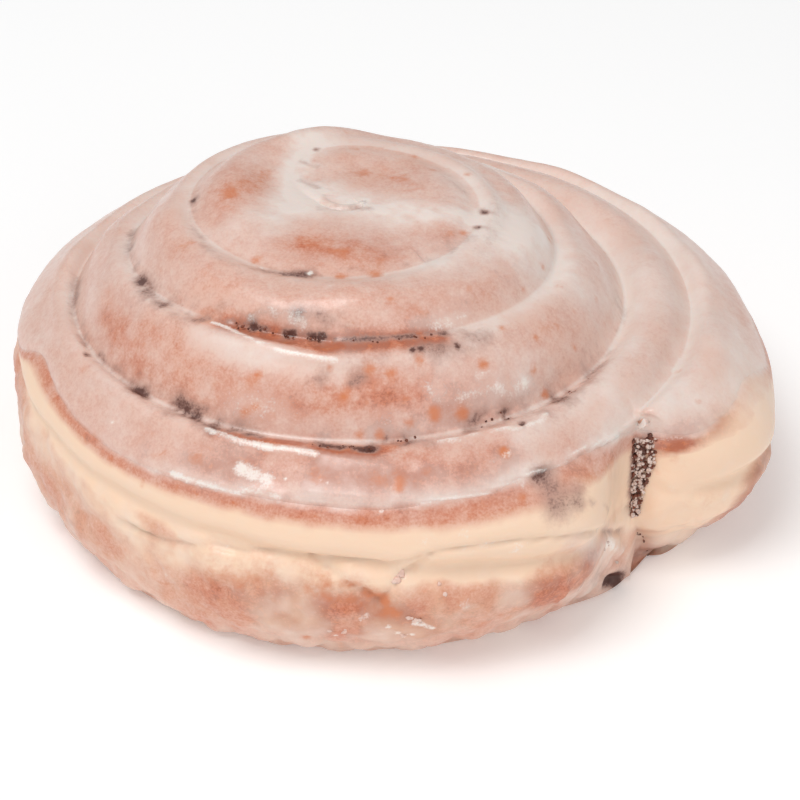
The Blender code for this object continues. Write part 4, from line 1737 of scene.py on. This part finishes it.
@dataclass
class Glaze:
    """The sugar glaze: a thin shell over the top and the shoulder that fills the grooves."""

    form: RollForm
    columns: int = 720
    top_rows: int = 20
    side_rows: int = 15
    thin_columns: int = 180
    thin_rows: int = 5
    thin_side_rows: int = 3
    lowest_level: float = 0.66
    thickness: float = 0.35
    hidden_depth: float = 0.7
    hidden_slope: float = 2.2
    rim_width: float = 1.6
    lobe_rim_width: float = 4.0
    lobe_spread: float = 30.0
    below_line: float = 0.9
    fillet: float = 1.3
    pool_width: float = 4.0
    soft_width: float = 1.6
    soft_rounds: int = 24
    outer: CoilSkin = field(init=False)
    normals: Array = field(init=False)
    surface: Array = field(init=False)

    def skin(self, columns: int, rows: int, side_rows: int) -> CoilSkin:
        """A grid over the top and down past the rim.

        Args:
            columns: columns in each turn.
            rows: rows across a coil.
            side_rows: rows down the side.

        Returns:
            The grid.
        """
        even = np.arange(rows) / rows
        shares = 0.45 * even + 0.55 * (1.0 - np.cos(np.pi * even)) / 2.0
        levels = np.linspace(1.0, self.lowest_level, side_rows + 1)
        skin = CoilSkin(self.form, columns, shares, levels, None)
        skin.ease_shoulder()
        return skin

    def __post_init__(self) -> None:
        """Makes the outer grid, and the plain surface with pooled grooves that the marks lie on."""
        self.outer = self.skin(self.columns, self.top_rows, self.side_rows)
        self.normals = self.outer.normals(self.outer.points)
        thick = self.thickness * (self.outer.level >= 1.0)
        points = self.outer.points + self.normals * thick[:, None]
        self.surface = self.pooled(points, np.zeros(len(points)))

    def build(self, paint: Paint) -> bpy.types.Object:
        """Makes the closed shell: a fine outer side and a coarse hidden inner side, joined at the rim.

        Args:
            paint: the layers of colour and relief.

        Returns:
            The piece.
        """
        outer = self.outer
        layers = paint.layers(self.surface, outer.turn, outer.level)
        points = self.outer_points(layers, paint)
        inner = self.skin(self.thin_columns, self.thin_rows, self.thin_side_rows)
        depth = self.hidden_depth + self.hidden_slope * (1.0 - inner.level) / (1.0 - self.lowest_level)
        hidden = inner.points - inner.normals(inner.points) * depth[:, None]
        count = len(points)
        quads = np.vstack([outer.quads, inner.quads[:, ::-1] + count])
        rim = self.rim_faces(outer, inner, count)
        triangles = np.vstack([outer.triangles, inner.triangles[:, ::-1] + count, rim])
        piece = make_mesh("glaze", np.vstack([points, hidden]), quads, triangles)
        bare = np.zeros(len(hidden))
        store(piece, {tint: np.concatenate([values, bare]) for tint, values in layers.items()})
        piece.data.materials.append(CrustFinish("sugar_glaze").material())
        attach(piece, BODY)
        LOG.info("glaze: %d points, %d faces", len(points) + len(hidden), len(quads) + len(triangles))
        return piece

    def outer_points(self, layers: dict[Tint, Array], paint: Paint) -> Array:
        """The glaze's outside: dough + (thickness + relief) along the normal, diving in past its edge.

        Args:
            layers: the layers at the outer grid.
            paint: the paint, for the height of the edge.

        Returns:
            The outer grid's points.
        """
        skin = self.outer
        where = seam_place(self.form.seam, skin.points)
        above = skin.points[:, 2] - paint.rim.height(paint.finder, self.form, skin.turn)
        lobe = bump(where.plan - self.form.lobe_angle, self.lobe_spread)
        soft = self.rim_width + self.lobe_rim_width * lobe
        cover = smoothstep((above + 0.6) / soft)
        dive = 0.25 + 0.5 * np.clip(-above, 0.0, 3.0)
        milky = 0.6 + 0.8 * np.clip(layers[Tint.MILK_AND_LIGHT], 0.0, 1.0)
        thick = self.thickness * milky * cover - dive * (1.0 - cover)
        points = skin.points + self.normals * (thick + layers[Tint.HEIGHT])[:, None]
        return self.pooled(points, layers[Tint.HEIGHT])

    def pooled(self, points: Array, relief: Array) -> Array:
        """Points levelled up where the glaze pools in a groove, and then smoothed.

        Args:
            points: the outer grid's points.
            relief: their relief in millimetres, so that what is cut in stays sharp.

        Returns:
            The pooled points.
        """
        where = seam_place(self.form.seam, self.outer.points)
        nearest = np.minimum(where.from_inner, where.to_outer)
        to_seam = np.where(where.from_inner < where.to_outer, -where.from_inner, where.to_outer)
        seam_radius = where.radius + to_seam
        line = self.form.dome(self.form.seam.turn_of_plus_x - where.plan, seam_radius) - self.below_line
        level_up = soft_max(points[:, 2], line, self.fillet) - 0.1
        on_top = self.outer.level >= 1.0
        share = smoothstep((self.pool_width - nearest) / 2.0) * on_top * (where.turn > self.form.seam.start)
        raised = points[:, 2] + (level_up - points[:, 2]) * share
        points = np.column_stack([points[:, :2], raised])
        soft = bell(nearest, self.soft_width) * on_top * np.clip(1.0 + relief, 0.0, 1.0)
        return self.outer.smoothed(points, soft, self.soft_rounds)

    def rim_faces(self, outer: CoilSkin, inner: CoilSkin, count: int) -> Array:
        """Faces between the fine rim and the coarse rim, and across the tail.

        Args:
            outer: the fine grid.
            inner: the coarse grid.
            count: number of the fine grid's points, which come first.

        Returns:
            The faces, three-sided.
        """
        ratio = self.columns // self.thin_columns
        fine, coarse = outer.rim, inner.rim + count
        near = np.repeat(coarse[:-1], ratio)
        fans = np.stack([fine[:-1], fine[1:], near], axis=-1)
        steps = np.stack([fine[ratio::ratio], coarse[1:], coarse[:-1]], axis=-1)
        tail = np.array([[fine[-1], fine[0], coarse[-1]], [fine[0], coarse[0], coarse[-1]]])
        return np.vstack([fans, steps, tail])


@dataclass
class Filling:
    """The cinnamon filling: a thin strip between the coils that shows in the grooves and at the tail."""

    form: RollForm
    thickness: float = 1.0
    tail_thickness: float = 2.0
    tail_over: float = 12.0
    tail_slant: float = 9.0
    tail_drop: float = 6.0
    below_groove: float = 1.7
    foot: float = 1.5
    chamfer: float = 0.3
    crown: float = 0.05
    step: float = 0.5
    roughness: float = 0.25
    rough_cell: float = 1.3
    rough_seed: int = 21

    def build(self) -> bpy.types.Object:
        """Makes the filling, which stands for the solid strip: one section carried along the seam.

        Returns:
            The piece.
        """
        seam = self.form.seam
        turns = np.append(np.arange(seam.start + seam.opens_over, seam.end, self.step), seam.end)[:, None]
        at_tail = smoothstep((turns - seam.end + self.tail_over) / self.tail_over)
        half = (self.thickness + (self.tail_thickness - self.thickness) * at_tail) / 2.0
        radius = seam.radius(turns)
        top = self.form.dome(turns, radius) - self.below_groove - self.tail_drop * at_tail
        across = np.array([-1.0, -1.0, -0.5, 0.0, 0.5, 1.0, 1.0])
        drop = np.array([0.0, self.chamfer, 0.0, -self.crown, 0.0, self.chamfer, 0.0])
        deep = np.array([True, False, False, False, False, False, True])
        points = self.form.place(turns - self.tail_slant * at_tail * deep, radius + half * across, top - drop)
        rough = cloud(points.reshape(-1, 3), self.rough_cell, self.rough_seed).reshape(points.shape[:-1])
        points[..., 2] = np.where(deep, self.foot, points[..., 2] + self.roughness * rough)
        n, m = points.shape[:2]
        numbers = np.arange(n * m).reshape(n, m)
        quads = grid_faces(np.column_stack([numbers, numbers[:, 0]]))
        first = np.stack([np.full(m - 2, numbers[0, 0]), numbers[0, 1:-1], numbers[0, 2:]], axis=-1)
        last = np.stack([np.full(m - 2, numbers[-1, 0]), numbers[-1, 2:], numbers[-1, 1:-1]], axis=-1)
        piece = make_mesh("cinnamon_strip", points.reshape(-1, 3), quads, np.vstack([first, last]))
        piece.data.materials.append(CinnamonFinish().material())
        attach(piece, BODY)
        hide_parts("cinnamon_filling")
        LOG.info("cinnamon strip: %d points", n * m)
        return piece


@dataclass(frozen=True)
class Cluster:
    """Bits strewn on the skin round a line of places in the frame."""

    count: int
    spread: float
    smallest: float
    largest: float
    path: Path


CRYSTALS = (
    Cluster(8, 5.0, 0.20, 0.38, ((606, 546), (614, 556), (618, 566))),
)
GRAINS = (
    Cluster(10, 2.4, 0.28, 0.48, ((649, 438), (652, 446))),
    Cluster(24, 0.7, 0.10, 0.18, ((634, 513), (639, 532), (645, 544), (649, 556))),
    Cluster(20, 3.0, 0.12, 0.28, ((235, 325), (262, 330), (290, 335), (325, 339))),
    Cluster(8, 2.4, 0.10, 0.20, ((345, 341), (390, 339), (440, 335))),
    Cluster(14, 2.4, 0.10, 0.22, ((313, 445), (345, 448), (372, 449))),
    Cluster(6, 5.0, 0.12, 0.24, ((384, 442), (400, 440), (425, 440))),
    Cluster(5, 6.0, 0.12, 0.24, ((478, 426), (492, 422), (506, 416))),
    Cluster(5, 6.0, 0.12, 0.24, ((562, 398), (576, 389), (590, 376))),
)
FLAKES = (
    Cluster(12, 4.0, 0.25, 0.60, ((408, 618), (424, 624), (432, 630))),
    Cluster(12, 5.0, 0.20, 0.50, ((356, 616), (372, 622), (392, 630))),
    Cluster(9, 4.0, 0.20, 0.50, ((396, 634), (414, 634))),
    Cluster(9, 3.0, 0.25, 0.55, ((393, 583), (402, 573))),
    Cluster(7, 2.0, 0.20, 0.40, ((163, 563), (167, 574))),
    Cluster(8, 4.0, 0.20, 0.45, ((328, 632), (342, 634), (352, 628))),
    Cluster(10, 9.0, 0.20, 0.45, ((425, 600), (460, 598))),
)


@dataclass
class Strewn:
    """Bits of one kind joined in one piece: each is a dented ball, half sunk in the skin."""

    name: str
    clusters: tuple[Cluster, ...]
    flatness: float
    sunk: float
    material: bpy.types.Material
    seed: int
    at_tail: int = 0
    opening_top: float = 0.88
    opening_depth: float = 0.48
    opening_power: float = 1.3
    opening_shares: tuple[float, float] = (-0.35, 0.9)
    opening_out: tuple[float, float] = (0.1, 0.9)
    opening_sizes: tuple[float, float] = (0.16, 0.40)

    def in_opening(self, form: RollForm, draw: np.random.Generator) -> list[tuple[Array, float]]:
        """Bits that fill the opening between the tail's end and the coil inside it.

        Args:
            form: the roll's form.
            draw: the random numbers.

        Returns:
            Centres and sizes.
        """
        down = draw.uniform(0.0, 1.0, self.at_tail) ** self.opening_power
        level = self.opening_top - self.opening_depth * down
        share = draw.uniform(*self.opening_shares, self.at_tail)[:, None]
        turns = (form.seam.end - FULL_TURN, form.seam.end)
        inside, tail = (form.side(np.array([[turn]]), level[None, :])[0] for turn in turns)
        plan = np.radians(form.seam.plan_angle(form.seam.end))
        way = np.array([np.cos(plan), np.sin(plan), 0.2])
        out = draw.uniform(*self.opening_out, self.at_tail)[:, None] * way
        sizes = draw.uniform(*self.opening_sizes, self.at_tail)
        return list(zip(inside + share * (tail - inside) + out, sizes))

    def build(self, finder: Finder, form: RollForm) -> bpy.types.Object:
        """Places every bit where the camera sees its place on the skin, and keeps them in one mesh.

        Args:
            finder: finds points on the skin, with their outward directions.
            form: the roll's form, for the opening at its tail.

        Returns:
            The piece.
        """
        draw = np.random.default_rng(self.seed)
        ball, faces = self.ball()
        rows = self.in_opening(form, draw)
        for cluster in self.clusters:
            stops = np.array(cluster.path, float)
            at_stops = np.arange(len(stops))
            along = draw.uniform(0.0, len(stops) - 1.0, cluster.count)
            line = np.stack([np.interp(along, at_stops, stops[:, axis]) for axis in (0, 1)], axis=-1)
            places = line + draw.normal(0.0, cluster.spread / 2.0, line.shape)
            sizes = draw.uniform(cluster.smallest, cluster.largest, cluster.count)
            rows += [(finder.at(tuple(place)), size) for place, size in zip(places, sizes)]
        points = []
        for centre, size in rows:
            up = finder.near_normals[np.argmin(((finder.near - centre) ** 2).sum(axis=1))]
            dented = ball * draw.uniform(0.7, 1.15, (len(ball), 1)) * draw.uniform(0.75, 1.2, 3)
            turned = dented @ self.rotation(draw).T * size
            flat = turned - up * (turned @ up)[:, None] * (1.0 - self.flatness)
            points.append(centre + flat + up * size * self.flatness * (1.0 - 2.0 * self.sunk))
        count = len(ball)
        triangles = (faces[None, :, :] + count * np.arange(len(rows))[:, None, None]).reshape(-1, 3)
        piece = make_mesh(self.name, np.concatenate(points), np.zeros((0, 4), int), triangles)
        piece.data.materials.append(self.material)
        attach(piece, BODY)
        LOG.info("%s: %d bits", self.name, len(rows))
        return piece

    def ball(self) -> tuple[Array, Array]:
        """Points and faces of a ball of 42 points: an icosahedron with each face split in four."""
        mesh = bmesh.new()
        bmesh.ops.create_icosphere(mesh, subdivisions=2, radius=1.0)
        points = np.array([vert.co[:] for vert in mesh.verts])
        faces = np.array([[vert.index for vert in face.verts] for face in mesh.faces])
        mesh.free()
        return points, faces

    def rotation(self, draw: np.random.Generator) -> Array:
        """A random rotation, from the directions of three random vectors."""
        turned, _ = np.linalg.qr(draw.normal(size=(3, 3)))
        return turned * np.sign(np.linalg.det(turned))


@dataclass(frozen=True)
class Studio:
    """The plain pale floor, the soft light and the camera."""

    lens: Lens
    floor_half: float = 900.0
    surround: float = 0.46
    floor_glow: float = 0.16
    lit_height: float = 0.02

    def build(self) -> None:
        """Makes the floor, the lights and the camera."""
        self.floor()
        self.lights()
        self.camera()

    def floor(self) -> None:
        """A wide plain floor at the roll's foot."""
        half = self.floor_half
        corners = np.array([[-half, -half, 0.0], [half, -half, 0.0], [half, half, 0.0], [-half, half, 0.0]])
        floor = make_mesh("floor", corners, np.array([[0, 1, 2, 3]]), np.zeros((0, 3), int))
        floor.data.materials.append(Tree("matt_floor").shade({
            "Base Color": (0.95, 0.95, 0.95, 1.0),
            "Roughness": 0.9,
            "Emission Color": (1.0, 1.0, 1.0, 1.0),
            "Emission Strength": self.floor_glow,
        }))

    def lights(self) -> None:
        """A wide soft light overhead, a weaker one in front, and an even pale surround."""
        world = bpy.data.worlds.new("surround")
        world.use_nodes = True
        background = world.node_tree.nodes["Background"]
        background.inputs["Color"].default_value = (1.0, 1.0, 1.0, 1.0)
        background.inputs["Strength"].default_value = self.surround
        bpy.context.scene.world = world
        for name, place, size, watts in (
            ("overhead", (-0.20, -0.25, 0.75), 0.40, 3.3),
            ("front", (0.5, -0.8, 0.5), 0.5, 1.2),
        ):
            lamp = bpy.data.lights.new(name, "AREA")
            lamp.size = size
            lamp.energy = watts
            holder = bpy.data.objects.new(name, lamp)
            holder.location = place
            way = Vector((0.0, 0.0, self.lit_height)) - Vector(place)
            holder.rotation_euler = way.to_track_quat("-Z", "Y").to_euler()
            bpy.context.scene.collection.objects.link(holder)

    def camera(self) -> None:
        """The camera, at the photograph's viewing angle."""
        data = bpy.data.cameras.new("camera")
        data.lens = self.lens.length
        data.sensor_width = self.lens.sensor
        data.clip_start, data.clip_end = 0.01, 10.0
        holder = bpy.data.objects.new("camera", data)
        holder.location = self.lens.place() * MM
        holder.rotation_euler = (np.pi / 2.0 - np.radians(self.lens.elevation), 0.0, 0.0)
        bpy.context.scene.collection.objects.link(holder)
        bpy.context.scene.camera = holder


def main() -> None:
    """Builds the pieces in order and reports each."""
    logging.basicConfig(level=logging.INFO, format="%(message)s")
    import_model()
    form, lens = RollForm(), Lens()
    dough, glaze = Dough(form), Glaze(form)
    skin = dough.skin()
    side, top = skin.level < 1.0, glaze.outer.level >= 1.0
    seen = np.concatenate([skin.points[side], glaze.surface[top]])
    outwards = np.concatenate([skin.normals(skin.points)[side], glaze.outer.normals(glaze.surface)[top]])
    finder = Finder(lens, seen, outwards)
    paint = Paint(form, finder, Rim(), all_marks())
    dough.build(skin, paint)
    Filling(form).build()
    glaze.build(paint)
    crystals = Strewn("sugar_crystals", CRYSTALS, 0.9, 0.30, SugarFinish().material(), 5, 170)
    ground = CinnamonFinish("cinnamon_grain").material()
    grains = Strewn("cinnamon_grains", GRAINS, 0.7, 0.55, ground, 6, 210)
    flakes = Strewn("sugar_flakes", FLAKES, 0.35, 0.40, CrustFinish("flaked_sugar").flakes(), 7)
    for strewn in (crystals, grains, flakes):
        strewn.build(finder, form)
    Studio(lens).build()
    bpy.context.scene.view_settings.view_transform = "Standard"


if __name__ == "__main__":
    main()
